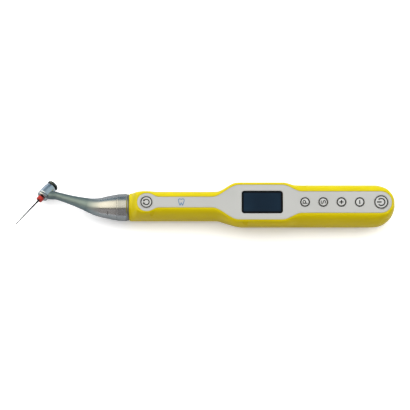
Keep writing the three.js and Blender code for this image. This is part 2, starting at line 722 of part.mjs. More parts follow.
function addPower(parent) {
  const { from, to, z } = CELL;
  add(parent, 'battery_cell', batteryCell(), 'cell');
  add(parent, 'battery_spring', batterySpring(), 'steel');
  add(parent, 'battery_plate', block(from - 0.8, from - GAP, -3.5, 3.5, z - 3.5, z + 6), 'brass');
  add(parent, 'motor_can', motorCan(), 'steel');
  add(parent, 'motor_end_cap', motorEndCap(), 'dark');
  add(parent, 'motor_rotor', motorRotor(), 'steel');
  add(parent, 'motor_bearing', motorBearing(), 'steel');
  add(parent, 'motor_dog', motorDog(), 'brass');
  add(parent, 'nose_socket', noseSocket(), 'dark');
  const rear = new THREE.Vector3(MOTOR.to + 0.4, 0, AXIS_Z);
  const board = new THREE.Vector3(-24, 0, BOARD_Z - 0.9);
  for (const [name, side, look] of [['motor_lead_red', 4, 'red'], ['motor_lead_black', -4,
    'rubber']]) {
    const start = rear.clone().setY(side);
    add(parent, name, lead(start, board.clone().setY(side), side), look);
  }
  add(parent, 'buzzer', post(4.5, -20, 0, 12, 16, 20), 'dark');
}

function addContraAngle(parent) {
  const contra = new THREE.Group();
  contra.position.z = AXIS_Z;
  contra.rotation.x = HEAD_ROLL;
  parent.add(contra);
  add(contra, 'contra_rear_ring', rearRing(), 'steel');
  add(contra, 'coupling_o_ring', couplingORing(), 'rubber');
  add(contra, 'contra_body', contraBody(), 'steel');
  add(contra, 'drive_shaft', driveShaft(), 'steel');
  add(contra, 'drive_shaft_bearing', ring(4, 1.5, NOSE_X - 1, NOSE_X + 2), 'steel');
  add(contra, 'drive_shaft_bush', ring(5.6, 1.5, RING_X - 6.5, RING_X - 4), 'brass');

  const neck = new THREE.Group();
  neck.position.copy(NECK_END);
  neck.rotation.z = -NECK_ANGLE;
  contra.add(neck);
  add(neck, 'neck_shaft', neckShaft(), 'steel');
  add(neck, 'neck_shaft_bearing', ring(2.3, 0.95, 25, 27, 20), 'brass');

  const head = new THREE.Group();
  head.position.copy(HEAD_BOTTOM);
  head.rotation.z = FILE_ANGLE;
  contra.add(head);
  add(head, 'head_housing', headHousing(), 'steel');
  add(head, 'head_nut', headNut(), 'steel');
  add(head, 'push_cap', pushCap(), 'steel');
  add(head, 'cap_spring', capSpring(), 'steel');
  add(head, 'spindle', spindle(), 'steel');
  add(head, 'spindle_bearing_lower', ring(3, 1.95, 2, 3.4), 'steel');
  add(head, 'spindle_bearing_upper', ring(3, 1.95, 7.7, 8.8), 'steel');
  add(head, 'root_canal_file', rootCanalFile(), 'steel');
  add(head, 'file_stop', fileStop(), 'red');
}

const motor = new THREE.Group();
addHandpiece(motor);
addPower(motor);
addContraAngle(motor);

export default motor;
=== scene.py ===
import bpy
import json
import math
from mathutils import Matrix, Vector


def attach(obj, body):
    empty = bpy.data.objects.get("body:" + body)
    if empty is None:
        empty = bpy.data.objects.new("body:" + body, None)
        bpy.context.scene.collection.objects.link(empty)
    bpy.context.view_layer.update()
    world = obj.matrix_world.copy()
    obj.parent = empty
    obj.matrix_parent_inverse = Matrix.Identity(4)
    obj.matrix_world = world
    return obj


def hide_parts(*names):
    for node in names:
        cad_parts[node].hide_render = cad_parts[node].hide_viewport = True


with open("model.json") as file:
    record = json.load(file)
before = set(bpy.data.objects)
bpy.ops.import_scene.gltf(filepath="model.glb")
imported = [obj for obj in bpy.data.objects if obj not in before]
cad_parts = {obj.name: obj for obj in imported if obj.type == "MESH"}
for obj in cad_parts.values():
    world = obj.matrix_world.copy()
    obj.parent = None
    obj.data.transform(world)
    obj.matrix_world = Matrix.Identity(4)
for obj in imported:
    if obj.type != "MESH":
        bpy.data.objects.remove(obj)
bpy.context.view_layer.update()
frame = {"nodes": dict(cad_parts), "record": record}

# ---- Half shells --------------------------------------------------------------------------
# The wand's body is two injection-moulded ABS half shells, glossy yellow, held together by
# screws from the back. The front one has a shallow recess for the control panel and meets the
# rear one in a fine parting line along the sides.

MM = 0.001
NOSE_X, TAIL_X = -89.2, 88.7
FRONT_Z, SEAM_Z, AXIS_Z = 25.0, 13.0, 11.0
NECK_HALF, DISPLAY_HALF, TAIL_HALF = 9.4, 15.0, 13.9
PANEL_NECK_HALF, PANEL_DISPLAY_HALF, PANEL_TAIL_HALF, PANEL_LOBE_R = 3.6, 11.9, 7.35, 6.15
DIRECTION_KEY_X, POWER_KEY_X = -77.3, 79.3
PANEL_FROM, PANEL_TO = DIRECTION_KEY_X - PANEL_LOBE_R, TAIL_X - 2.25
LOBE_SHOULDER_X = DIRECTION_KEY_X + 0.8
SHELL_WALL, FRONT_WALL, PANEL_RECESS = 1.6, 3.0, 1.3
SHELL_AROUND = 88
FLAT_SHARE, SIDE_SHARE = 0.12, 0.5    # where the section leaves its flat front, and its side
SHOULDER, DISPLAY_SHOULDER, CORNER = 11, 8, 12.6    # heights of the section's rounded parts
REST_NECK_HALF, REST_HALF = 2.2, 4    # half widths of the flat strip that the body lies on
FRONT_DROP, BACK_RISE, BACK_RISE_FROM = 8, 15.5, 69    # how front and back round to the tail
ROUND_NOSE_X, NOSE_LIP = -88, 0.75    # where the section is round, and its lip's curve
SOCKET_BORE_R = 6.9
SEAT_R, SEAT_BORE_R, SEAT_BORE_TO, CONTACT_HOLE_R = 3.4, 2.4, 4.6, 1.8
KEYS = {"direction": (DIRECTION_KEY_X, 4.3), "program": (28.5, 3.25), "set": (40.65, 3.25),
        "plus": (52.8, 3.25), "minus": (64.95, 3.25), "power": (POWER_KEY_X, 4.8)}
SCREW_AT = ((-38, 0), (16.5, 8.6), (16.5, -8.6))
CHARGE_X = (-8, -16)


def blend(x, start, end, a, b):
    """Goes smoothly from a to b as x goes from start to end."""
    share = min(1.0, max(0.0, (x - start) / (end - start)))
    return a + (b - a) * share * share * (3 - 2 * share)


def chord(x, centre, radius):
    """Half of a circle's chord at x, or zero outside it."""
    return math.sqrt(max(0.0, radius ** 2 - (x - centre) ** 2))


def panel_half(x):
    """Half width of the panel: a lobe, a strip along the neck, the display's field, the keys."""
    end_centre = PANEL_TO - PANEL_TAIL_HALF
    if x < DIRECTION_KEY_X:
        return chord(x, DIRECTION_KEY_X, PANEL_LOBE_R)
    if x > end_centre:
        return chord(x, end_centre, PANEL_TAIL_HALF)
    if x < -50:
        return blend(x, LOBE_SHOULDER_X, LOBE_SHOULDER_X + 7.5, PANEL_LOBE_R, PANEL_NECK_HALF)
    if x < 0:
        return blend(x, -33.5, -15.5, PANEL_NECK_HALF, PANEL_DISPLAY_HALF)
    return blend(x, 13.5, 26.5, PANEL_DISPLAY_HALF, PANEL_TAIL_HALF)


def flat_half(x):
    """Half width of the flat that the panel lies in, which outlasts the panel's round ends."""
    if x < DIRECTION_KEY_X:
        return blend(-x, 79, 88, PANEL_LOBE_R, 2)
    return blend(x, 82.5, TAIL_X, PANEL_TAIL_HALF, 2) if x > 70 else panel_half(x)


def body_half(x):
    """Half width of the body at its widest, with a round tail."""
    if x > TAIL_X - TAIL_HALF:
        return chord(x, TAIL_X - TAIL_HALF, TAIL_HALF)
    if x < 0:
        return blend(x, -30.5, -17, NECK_HALF, DISPLAY_HALF)
    return blend(x, 14.5, 21.5, DISPLAY_HALF, TAIL_HALF)


def rounding(x, start, depth):
    """How far a face has dropped at x, where it rounds over from start to the tail."""
    share = min(1.0, max(0.0, (x - start) / (TAIL_X - start)))
    return depth * (1 - math.sqrt(1 - share * share))


def body_point(x, share, wall=0.0, front_wall=0.0):
    """A point of the body's section at x; share runs once round from the front's middle."""
    half_share = 2 * share if share <= 0.5 else 2 * (1 - share)
    side = 1 if share <= 0.5 else -1
    front = FRONT_Z - rounding(x, PANEL_TO, FRONT_DROP) - front_wall
    back = rounding(x, BACK_RISE_FROM, BACK_RISE) + wall
    wide = max(body_half(x) - wall, 0.02)
    low = max(min(body_half(x), blend(x, -33, -13, NECK_HALF, TAIL_HALF)) - wall, 0.02)
    flat = min(flat_half(x) + 0.35, wide * 0.97)
    rest = min(blend(x, -33, -15, REST_NECK_HALF, REST_HALF), low * 0.6)
    shoulder = (blend(x, -31, -16, SHOULDER, DISPLAY_SHOULDER) if x < 0
                else blend(x, 14, 24, DISPLAY_SHOULDER, SHOULDER))
    shoulder = min(shoulder, (front - back) / 2)
    corner = min(CORNER - wall, (front - back) / 2)
    if half_share < FLAT_SHARE:
        y, z = flat * half_share / FLAT_SHARE, front
    elif half_share < SIDE_SHARE:
        angle = math.pi / 2 * (half_share - FLAT_SHARE) / (SIDE_SHARE - FLAT_SHARE)
        y = flat + (wide - flat) * math.sin(angle)
        z = front - shoulder * (1 - math.cos(angle))
    elif half_share < 1 - FLAT_SHARE:
        angle = math.pi / 2 * (half_share - SIDE_SHARE) / (1 - FLAT_SHARE - SIDE_SHARE)
        y = rest + (low - rest) * math.cos(angle)
        z = back + corner * (1 - math.sin(angle))
    else:
        y, z = rest * (1 - half_share) / FLAT_SHARE, back
    turn = blend(-x, -PANEL_FROM, -ROUND_NOSE_X, 0, 1)
    radius = NECK_HALF - wall - NOSE_LIP * max(0.0, ROUND_NOSE_X - x) ** 2
    y += (radius * math.sin(math.pi * half_share) - y) * turn
    z += (AXIS_Z + radius * math.cos(math.pi * half_share) - z) * turn
    return Vector((x, side * y, z)) * MM


def steps(start, end, count):
    """Even steps from start, up to but without end."""
    return [start + (end - start) * i / count for i in range(count)]


def eased(start, end, count):
    """Steps that close up towards the end, for a shape that rounds over there."""
    return [start + (end - start) * math.sin(math.pi / 2 * i / count) for i in range(count)]


def pick(piece):
    """Makes a piece the only one selected, and the active one."""
    bpy.ops.object.select_all(action="DESELECT")
    bpy.context.view_layer.objects.active = piece
    piece.select_set(True)


def edit(piece):
    pick(piece)
    bpy.ops.object.mode_set(mode="EDIT")
    bpy.ops.mesh.select_all(action="SELECT")


def close(piece, merge=1e-7):
    """Merges doubles, fills open ends and turns the faces outwards, on a piece in edit mode."""
    bpy.ops.mesh.select_all(action="SELECT")
    bpy.ops.mesh.remove_doubles(threshold=merge)
    bpy.ops.mesh.select_all(action="DESELECT")
    bpy.ops.mesh.select_non_manifold()
    bpy.ops.mesh.fill_holes(sides=0)
    bpy.ops.mesh.select_all(action="SELECT")
    bpy.ops.mesh.delete_loose(use_faces=False)
    bpy.ops.mesh.select_all(action="SELECT")
    bpy.ops.mesh.normals_make_consistent(inside=False)
    bpy.ops.object.mode_set(mode="OBJECT")
    return piece


def skin(name, stations, around, point):
    """A grid wrapped into a closed skin, where point(station, share) places each vertex."""
    bpy.ops.object.select_all(action="DESELECT")
    bpy.ops.mesh.primitive_grid_add(
        x_subdivisions=len(stations) - 1, y_subdivisions=around, size=2)
    piece = bpy.context.object
    piece.name = name
    for vertex in piece.data.vertices:
        row = round((vertex.co.x + 1) / 2 * (len(stations) - 1))
        column = round((vertex.co.y + 1) / 2 * around)
        vertex.co = point(stations[row], (column % around) / around)
    edit(piece)
    return close(piece)


def prism(name, outline, low, high):
    """An upright prism on an outline of (x, y) points in millimetres."""
    bpy.ops.object.select_all(action="DESELECT")
    bpy.ops.mesh.primitive_circle_add(vertices=len(outline), fill_type="NGON")
    piece = bpy.context.object
    piece.name = name
    for vertex, (x, y) in zip(piece.data.vertices, outline):
        vertex.co = Vector((x, y, low)) * MM
    edit(piece)
    bpy.ops.mesh.extrude_region_move(
        TRANSFORM_OT_translate={"value": (0, 0, (high - low) * MM)})
    return close(piece)


def disc(x, y, radius, count=64):
    """A circle's outline."""
    return [(x + radius * math.cos(math.tau * i / count),
             y + radius * math.sin(math.tau * i / count)) for i in range(count)]


def rounded_plate(long, wide, corner, count=10):
    """The outline of a plate with round corners, about the middle of the display."""
    points = []
    for quarter, (sx, sy) in enumerate(((1, 1), (-1, 1), (-1, -1), (1, -1))):
        for i in range(count + 1):
            angle = math.pi / 2 * (quarter + i / count)
            points.append((sx * (long / 2 - corner) + corner * math.cos(angle),
                           sy * (wide / 2 - corner) + corner * math.sin(angle)))
    return points


def panel_outline(grow):
    """The control panel's outline, grown by a clearance."""
    along = sorted(eased(DIRECTION_KEY_X, PANEL_FROM, 24)) + steps(LOBE_SHOULDER_X, -68.5, 14)
    along += [-68.5] + steps(-33.5, -15.5, 22) + [-15.5] + steps(13.5, 26.5, 18) + [26.5]
    along += eased(PANEL_TO - PANEL_TAIL_HALF, PANEL_TO, 24)
    edge = [(x, panel_half(x) + grow) for x in along]
    return ([(PANEL_TO + grow, 0)] + edge[::-1] + [(PANEL_FROM - grow, 0)]
            + [(x, -y) for x, y in edge])


def box(low, high):
    bpy.ops.object.select_all(action="DESELECT")
    bpy.ops.mesh.primitive_cube_add(size=1, location=(Vector(low) + Vector(high)) / 2 * MM)
    tool = bpy.context.object
    tool.scale = (Vector(high) - Vector(low)) * MM
    bpy.ops.object.transform_apply(location=True, rotation=True, scale=True)
    return tool


def copy_of(piece, name):
    pick(piece)
    bpy.ops.object.duplicate(linked=False)
    bpy.context.object.name = name
    return bpy.context.object


def joined(pieces):
    """Puts separate pieces into one object, the first one."""
    pick(pieces[0])
    for piece in pieces:
        piece.select_set(True)
    bpy.ops.object.join()
    return pieces[0]


def finish_with(piece, kind, **settings):
    """Adds a modifier to a piece and applies it."""
    modifier = piece.modifiers.new(kind.lower(), kind)
    for name, value in settings.items():
        setattr(modifier, name, value)
    pick(piece)
    bpy.ops.object.modifier_apply(modifier=modifier.name)
    return piece


def combine(piece, tools, operation="DIFFERENCE"):
    """Cuts a piece with tools that stand clear of each other, or joins them to it."""
    tool = joined(tools)
    finish_with(piece, "BOOLEAN", operation=operation, object=tool, solver="EXACT")
    bpy.data.objects.remove(tool)
    return piece


def smooth(piece, angle=35):
    """Shades a piece smooth but for its sharp edges, and keeps its flats looking flat."""
    pick(piece)
    bpy.ops.object.shade_smooth_by_angle(angle=math.radians(angle))
    return finish_with(piece, "WEIGHTED_NORMAL", keep_sharp=True)


def soften(piece, width, segments=3, angle=40):
    """Rounds a piece's sharp edges by a width in millimetres."""
    finish_with(piece, "BEVEL", width=width * MM, segments=segments, limit_method="ANGLE",
                angle_limit=math.radians(angle), use_clamp_overlap=False)
    return smooth(piece)


def linear(code):
    """An sRGB hex colour as a linear RGBA colour."""
    parts = [int(code[i:i + 2], 16) / 255 for i in (1, 3, 5)]
    return [p / 12.92 if p <= 0.04045 else ((p + 0.055) / 1.055) ** 2.4 for p in parts] + [1.0]


def add(tree, kind, inputs=None, **settings):
    """Adds a node with its settings, and its inputs as values or as other nodes' outputs."""
    node = tree.nodes.new(kind)
    for name, value in settings.items():
        setattr(node, name, value)
    for name, value in (inputs or {}).items():
        if isinstance(value, bpy.types.NodeSocket):
            tree.links.new(value, node.inputs[name])
        else:
            node.inputs[name].default_value = value
    return node


def start_material(name, **plain):
    """A material, its node tree, its shader with plain values set, and the object's place."""
    material = bpy.data.materials.new(name)
    material.use_nodes = True
    tree = material.node_tree
    shader = tree.nodes["Principled BSDF"]
    for socket, value in plain.items():
        shader.inputs[socket.replace("_", " ")].default_value = value
    return material, tree, shader, add(tree, "ShaderNodeTexCoord").outputs["Object"]


def feed(tree, shader, colour=None, roughness=None, normal=None):
    for socket, value in (("Base Color", colour), ("Roughness", roughness), ("Normal", normal)):
        if value:
            tree.links.new(value, shader.inputs[socket])


def two_tone(tree, factor, first, second, low=0.3, high=0.7):
    """A colour that drifts between two, as a noise goes from low to high."""
    ramp = add(tree, "ShaderNodeValToRGB", {"Fac": factor})
    for element, place, code in zip(ramp.color_ramp.elements, (low, high), (first, second)):
        element.position = place
        element.color = linear(code)
    return ramp.outputs["Color"]


def moulded_yellow_abs():
    """Glossy moulded ABS: a clean even yellow, a soft polish that drifts a little, and the
    faint orange peel of a polished mould, about 1 mm across."""
    material, tree, shader, place = start_material(
        "moulded_yellow_abs", IOR=1.53, Specular_IOR_Level=0.12)
    drift = add(tree, "ShaderNodeTexNoise", {"Vector": place, "Scale": 45.0, "Detail": 2.0})
    peel = add(tree, "ShaderNodeTexNoise", {"Vector": place, "Scale": 900.0, "Detail": 1.0})
    sheen = add(tree, "ShaderNodeMapRange",
                {"Value": drift.outputs["Fac"], "To Min": 0.24, "To Max": 0.34})
    bump = add(tree, "ShaderNodeBump",
               {"Height": peel.outputs["Fac"], "Strength": 0.06, "Distance": 0.0002})
    feed(tree, shader, two_tone(tree, drift.outputs["Fac"], "#B4A402", "#B9AA03"),
         sheen.outputs["Result"], bump.outputs["Normal"])
    return material


def hand_over(piece, body, slot, material, *nodes):
    """Gives a finished piece its material and its body, and hides the nodes it stands for. The slot is
    not used.
    """
    piece.data.materials.clear()
    piece.data.materials.append(material)
    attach(piece, body)
    if nodes:
        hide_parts(*nodes)
    return piece


def body_blank(name):
    """The whole body as one solid, before it is parted and hollowed."""
    stations = [NOSE_X, -89.05, -88.85, -88.6, -88.3] + steps(ROUND_NOSE_X, PANEL_FROM, 12)
    stations += steps(PANEL_FROM, -82, 8) + steps(-82, -68, 18) + steps(-68, -34, 6)
    stations += steps(-34, -12, 26) + steps(-12, 13, 5) + steps(13, 28, 18)
    stations += steps(28, 66, 6) + steps(66, PANEL_TO, 30)
    stations += eased(PANEL_TO, TAIL_X, 14) + [TAIL_X - 0.01]
    return skin(name, stations, SHELL_AROUND, body_point)


def body_hollow(name, wall=SHELL_WALL, front_wall=FRONT_WALL):
    """The space inside the body's walls."""
    stations = [NOSE_X + 3] + steps(-85, -68, 12) + steps(-68, -34, 4) + steps(-34, -12, 14)
    stations += steps(-12, 13, 3) + steps(13, 28, 10) + steps(28, 66, 4)
    stations += steps(66, TAIL_X - 3.2, 12) + [TAIL_X - 3.2]
    return skin(name, stations, 48, lambda x, share: body_point(x, share, wall, front_wall))


def socket_bore(x, share):
    return Vector((x, SOCKET_BORE_R * math.sin(math.tau * share),
                   AXIS_Z + SOCKET_BORE_R * math.cos(math.tau * share))) * MM


abs_yellow = moulded_yellow_abs()
blank = body_blank("blank")
hollow = body_hollow("hollow")
shells = {}
for name, low, high in (("rear", -5, SEAM_Z - 0.05), ("front", SEAM_Z + 0.05, FRONT_Z + 5)):
    shell = copy_of(blank, name + "_shell_moulding")
    combine(shell, [box((-100, -20, low), (100, 20, high))], "INTERSECT")
    combine(shell, [copy_of(hollow, "inside")])
    combine(shell, [skin("bore", [NOSE_X - 2, NOSE_X + 6], 64, socket_bore)])
    shells[name] = shell
seats = [prism("seat", disc(x, y, SEAT_R), -1, 8) for x, y in SCREW_AT]
seats = combine(joined(seats), [body_hollow("inset", 0.6, 0.6)], "INTERSECT")
combine(shells["rear"], [seats], "UNION")
combine(shells["rear"],
        [prism("seat_bore", disc(x, y, SEAT_BORE_R), -2, SEAT_BORE_TO) for x, y in SCREW_AT]
        + [prism("contact_hole", disc(x, 0, CONTACT_HOLE_R), -2, 5) for x in CHARGE_X])
combine(shells["front"], [prism("recess", panel_outline(0.12), FRONT_Z - PANEL_RECESS, 30)])
combine(shells["front"], [prism("display_light", rounded_plate(24.4, 12.4, 1), 15, FRONT_Z)]
        + [prism("key_hole", disc(x, 0, radius - 1.1), 15, FRONT_Z)
           for x, radius in KEYS.values()])
for name, shell in shells.items():
    smooth(shell, 30)
    hand_over(shell, "handle", "yellow_plastic", abs_yellow, name + "_shell")
for spare in (blank, hollow):
    bpy.data.objects.remove(spare)

# ---- Nose socket --------------------------------------------------------------------------
# The sleeve that the contra-angle plugs into: turned aluminium, anodised grey, pressed into
# the shells' round nose. Only its thin chamfered collar shows between plastic and steel.

SOCKET_OUT_R, SOCKET_IN_R, SOCKET_LENGTH = 8.9, 5.5, 12.7


def spun(name, profile, axis="X", centre=(0, 0, AXIS_Z), start=0.0, sweep=math.tau, count=96):
    """Spins a closed profile of (radius, along) points about an axis through the centre."""
    bpy.ops.object.select_all(action="DESELECT")
    bpy.ops.mesh.primitive_circle_add(vertices=len(profile), fill_type="NOTHING")
    piece = bpy.context.object
    piece.name = name
    centre = Vector(centre)
    for vertex, (radius, along) in zip(piece.data.vertices, profile):
        if axis == "X":
            offset = Vector((along, 0, radius))
        else:
            offset = Vector((radius * math.cos(start), radius * math.sin(start), along))
        vertex.co = (centre + offset) * MM
    edit(piece)
    bpy.ops.mesh.spin(steps=count, angle=sweep, center=centre * MM,
                      axis=(1, 0, 0) if axis == "X" else (0, 0, 1))
    return close(piece, 1e-6)


def anodised_grey():
    """Turned aluminium, anodised grey: a dull metal sheen with faint lathe rings along its
    axis, drawn about 1 mm apart so that they show."""
    material, tree, shader, place = start_material(
        "anodised_grey_aluminium", Metallic=0.9, Base_Color=linear("#8A8D8E"))
    rings = add(tree, "ShaderNodeTexWave", {"Vector": place, "Scale": 300.0, "Distortion": 1.0})
    grain = add(tree, "ShaderNodeMapRange",
                {"Value": rings.outputs["Fac"], "To Min": 0.3, "To Max": 0.42})
    bump = add(tree, "ShaderNodeBump",
               {"Height": rings.outputs["Fac"], "Strength": 0.08, "Distance": 0.0001})
    feed(tree, shader, None, grain.outputs["Result"], bump.outputs["Normal"])
    return material


collar = NOSE_X - 1.1
socket = spun("nose_socket_sleeve", [
    (SOCKET_IN_R, collar), (SOCKET_OUT_R, collar), (SOCKET_OUT_R, NOSE_X - 0.1),
    (SOCKET_BORE_R - 0.05, NOSE_X - 0.1), (SOCKET_BORE_R - 0.05, collar + SOCKET_LENGTH),
    (SOCKET_IN_R, collar + SOCKET_LENGTH)])
hand_over(soften(socket, 0.2), "handle", "anodised_grey", anodised_grey(), "nose_socket")

# ---- Control panel ------------------------------------------------------------------------
# A moulded polycarbonate panel, sprayed silver-grey and lying flush in the front shell's
# recess. It has a window for the display and a round hole for each key.

WINDOW_LONG, WINDOW_WIDE, WINDOW_CORNER, PANEL_THICK = 27.4, 15.4, 2.0, 1.0
PANEL_BACK_Z = FRONT_Z - PANEL_THICK
KEY_PLAY = 0.1


def sprayed_silver_panel():
    """Polycarbonate with a satin silver-grey paint: fine metal flake about 0.1 mm across, drawn
    at 0.4 mm to show, and a slight drift of tone."""
    material, tree, shader, place = start_material(
        "sprayed_silver_polycarbonate", Metallic=0.15, IOR=1.5, Specular_IOR_Level=0.3)
    flake = add(tree, "ShaderNodeTexVoronoi", {"Vector": place, "Scale": 2500.0})
    drift = add(tree, "ShaderNodeTexNoise", {"Vector": place, "Scale": 30.0, "Detail": 2.0})
    shine = add(tree, "ShaderNodeMapRange",
                {"Value": flake.outputs["Distance"], "To Min": 0.42, "To Max": 0.55})
    bump = add(tree, "ShaderNodeBump",
               {"Height": flake.outputs["Distance"], "Strength": 0.05, "Distance": 0.0001})
    feed(tree, shader, two_tone(tree, drift.outputs["Fac"], "#A3A4A2", "#A9AAA8"),
         shine.outputs["Result"], bump.outputs["Normal"])
    return material


panel_paint = sprayed_silver_panel()
panel = prism("silver_control_panel", panel_outline(0), PANEL_BACK_Z, FRONT_Z)
combine(panel, [prism("window", rounded_plate(WINDOW_LONG + 0.2, WINDOW_WIDE + 0.2,
                                              WINDOW_CORNER), 20, 30)]
        + [prism("hole", disc(x, 0, radius + KEY_PLAY), 20, 30) for x, radius in KEYS.values()])
hand_over(soften(panel, 0.18), "handle", "panel_film", panel_paint, "control_panel")

# ---- Display window -----------------------------------------------------------------------
# A hard-coated acrylic window over the dark liquid-crystal display, with the black border that
# is printed on its back, set a little below the panel's face.

WINDOW_TOP_Z = FRONT_Z - 0.12
BORDER = 1.3


def display_acrylic():
    """Polished acrylic over a sleeping display: slate blue in the middle, nearly black under
    the printed border, and smooth, with faint clear reflections."""
    material, tree, shader, place = start_material(
        "hard_coated_acrylic_window", Roughness=0.06, IOR=1.49, Specular_IOR_Level=0.06)
    parts = add(tree, "ShaderNodeSeparateXYZ", {"Vector": place})
    inside = []
    for axis, half in (("X", WINDOW_LONG / 2 - BORDER), ("Y", WINDOW_WIDE / 2 - BORDER)):
        distance = add(tree, "ShaderNodeMath", operation="ABSOLUTE")
        tree.links.new(parts.outputs[axis], distance.inputs[0])
        edge = add(tree, "ShaderNodeMapRange",
                   {"Value": distance.outputs[0], "From Min": (half - 0.15) * MM,
                    "From Max": (half + 0.15) * MM, "To Min": 1.0, "To Max": 0.0})
        inside.append(edge.outputs["Result"])
    field = add(tree, "ShaderNodeMath", operation="MULTIPLY")
    for socket, edge in zip(field.inputs, inside):
        tree.links.new(edge, socket)
    cloud = add(tree, "ShaderNodeTexNoise", {"Vector": place, "Scale": 60.0, "Detail": 1.0})
    slate = two_tone(tree, cloud.outputs["Fac"], "#0F1D2A", "#132331")
    colour = add(tree, "ShaderNodeMix", data_type="RGBA")
    tree.links.new(field.outputs[0], colour.inputs["Factor"])
    colour.inputs[6].default_value = linear("#07090C")
    tree.links.new(slate, colour.inputs[7])
    feed(tree, shader, colour.outputs[2])
    return material


window = prism("display_window_pane", rounded_plate(WINDOW_LONG, WINDOW_WIDE, WINDOW_CORNER - 0.1),
               PANEL_BACK_Z, WINDOW_TOP_Z)
hand_over(soften(window, 0.15), "handle", "display_glass", display_acrylic(), "display_window")

# ---- Keys and their printed signs -----------------------------------------------------------
# Six round keys moulded in the panel's silver-grey, each on a stem that reaches its switch.
# A dark ring and a sign are pad-printed on each: turn direction, program, set, more, less, and
# power. They stand a hair above the panel, with a rounded edge.

KEY_TOP_Z = FRONT_Z + 0.1
KEY_STEM_Z = 21.9
INK_TOP_Z = KEY_TOP_Z + 0.02
INK_LINE, LETTER_LINE, POWER_LINE = 0.8, 0.66, 0.92
TURN_R, POWER_R, BAR_HALF = 1.87, 2.4, 1.4       # of the signs' arcs and bars
RING_R, SMALL_RING_R = {"direction": 3.62, "power": 4.22}, 2.78


def moulded_key():
    """Satin moulded key plastic, a shade lighter than the panel round it, with a fine grain."""
    material, tree, shader, place = start_material("moulded_key_plastic", IOR=1.5)
    grain = add(tree, "ShaderNodeTexNoise", {"Vector": place, "Scale": 1500.0, "Detail": 2.0})
    shine = add(tree, "ShaderNodeMapRange",
                {"Value": grain.outputs["Fac"], "To Min": 0.38, "To Max": 0.52})
    bump = add(tree, "ShaderNodeBump",
               {"Height": grain.outputs["Fac"], "Strength": 0.05, "Distance": 0.0001})
    feed(tree, shader, two_tone(tree, grain.outputs["Fac"], "#A7A8A6", "#AEAFAD"),
         shine.outputs["Result"], bump.outputs["Normal"])
    return material


def printed_ink(name, dark, light):
    """Pad-printed ink: flat and dull, a little thinner in places."""
    material, tree, shader, place = start_material(name, Roughness=0.6, IOR=1.5)
    cover = add(tree, "ShaderNodeTexNoise", {"Vector": place, "Scale": 1200.0, "Detail": 3.0})
    feed(tree, shader, two_tone(tree, cover.outputs["Fac"], dark, light))
    return material


def stroke(points, width):
    """The outline of a line of even width drawn through points."""
    left, right = [], []
    for i, point in enumerate(points):
        before = Vector(points[max(i - 1, 0)])
        after = Vector(points[min(i + 1, len(points) - 1)])
        along = (after - before).normalized()
        across = Vector((-along.y, along.x)) * width / 2
        left.append(Vector(point) + across)
        right.append(Vector(point) - across)
    return [tuple(p) for p in right + left[::-1]]


def arc(centre, radii, start, end, count=20):
    """Points on part of an ellipse, with its angles in degrees."""
    angles = [math.radians(start + (end - start) * i / count) for i in range(count + 1)]
    return [(centre[0] + radii[0] * math.cos(a), centre[1] + radii[1] * math.sin(a))
            for a in angles]


def ink(outline):
    """A printed shape on a key's top."""
    return prism("ink", outline, KEY_TOP_Z - 0.1, INK_TOP_Z)


def arrow_head(x, radius, degrees, back):
    """A solid arrowhead at the end of an arc, pointing on along it."""
    angle = math.radians(degrees)
    out = Vector((math.cos(angle), math.sin(angle)))
    ahead = Vector((-out.y, out.x)) * back
    foot = Vector((x, 0)) + out * radius
    return [tuple(foot + out * 0.95), tuple(foot + ahead * 1.5), tuple(foot - out * 0.95)][::
            1 if back < 0 else -1]


def turned_up(points, x):
    """Signs on the key strip read with their top towards the head end."""
    return [(x - gy, gx) for gx, gy in points]


def signs(name, x):
    """Outlines of the sign on a key: strokes and arrowheads about the key's middle."""
    if name == "direction":
        return [stroke(arc((x, 0), (TURN_R, TURN_R), 132, -140, 40), INK_LINE),
                arrow_head(x, TURN_R, 132, 1), arrow_head(x, TURN_R, -140, -1)]
    if name == "power":
        return [stroke(arc((x, 0), (POWER_R, POWER_R), 138, -138, 48), POWER_LINE),
                stroke([(x - 2.9, 0), (x + 0.3, 0)], POWER_LINE)]
    if name == "program":
        bowl = [(-0.9, 1.35), (0.1, 1.35)] + arc((0.1, 0.5), (0.95, 0.85), 80, -80) + \
            [(0.1, -0.35), (-0.9, -0.35)]
        return [stroke(turned_up([(-0.9, -1.65), (-0.9, 1.68)], x), LETTER_LINE),
                stroke(turned_up(bowl, x), LETTER_LINE)]
    if name == "set":
        curve = arc((0, 0.74), (0.98, 0.74), 25, 262) + arc((0, -0.74), (0.98, 0.74), 82, -155)
        return [stroke(turned_up(curve, x), LETTER_LINE)]
    near, far = INK_LINE / 2, BAR_HALF
    if name == "minus":
        return [[(x + near, -far), (x + near, far), (x - near, far), (x - near, -far)]]
    arm = [(far, -near), (far, near), (near, near)]
    return [[(x + turn * px - flip * py, flip * px + turn * py)
             for turn, flip in ((1, 0), (0, 1), (-1, 0), (0, -1)) for px, py in arm]]


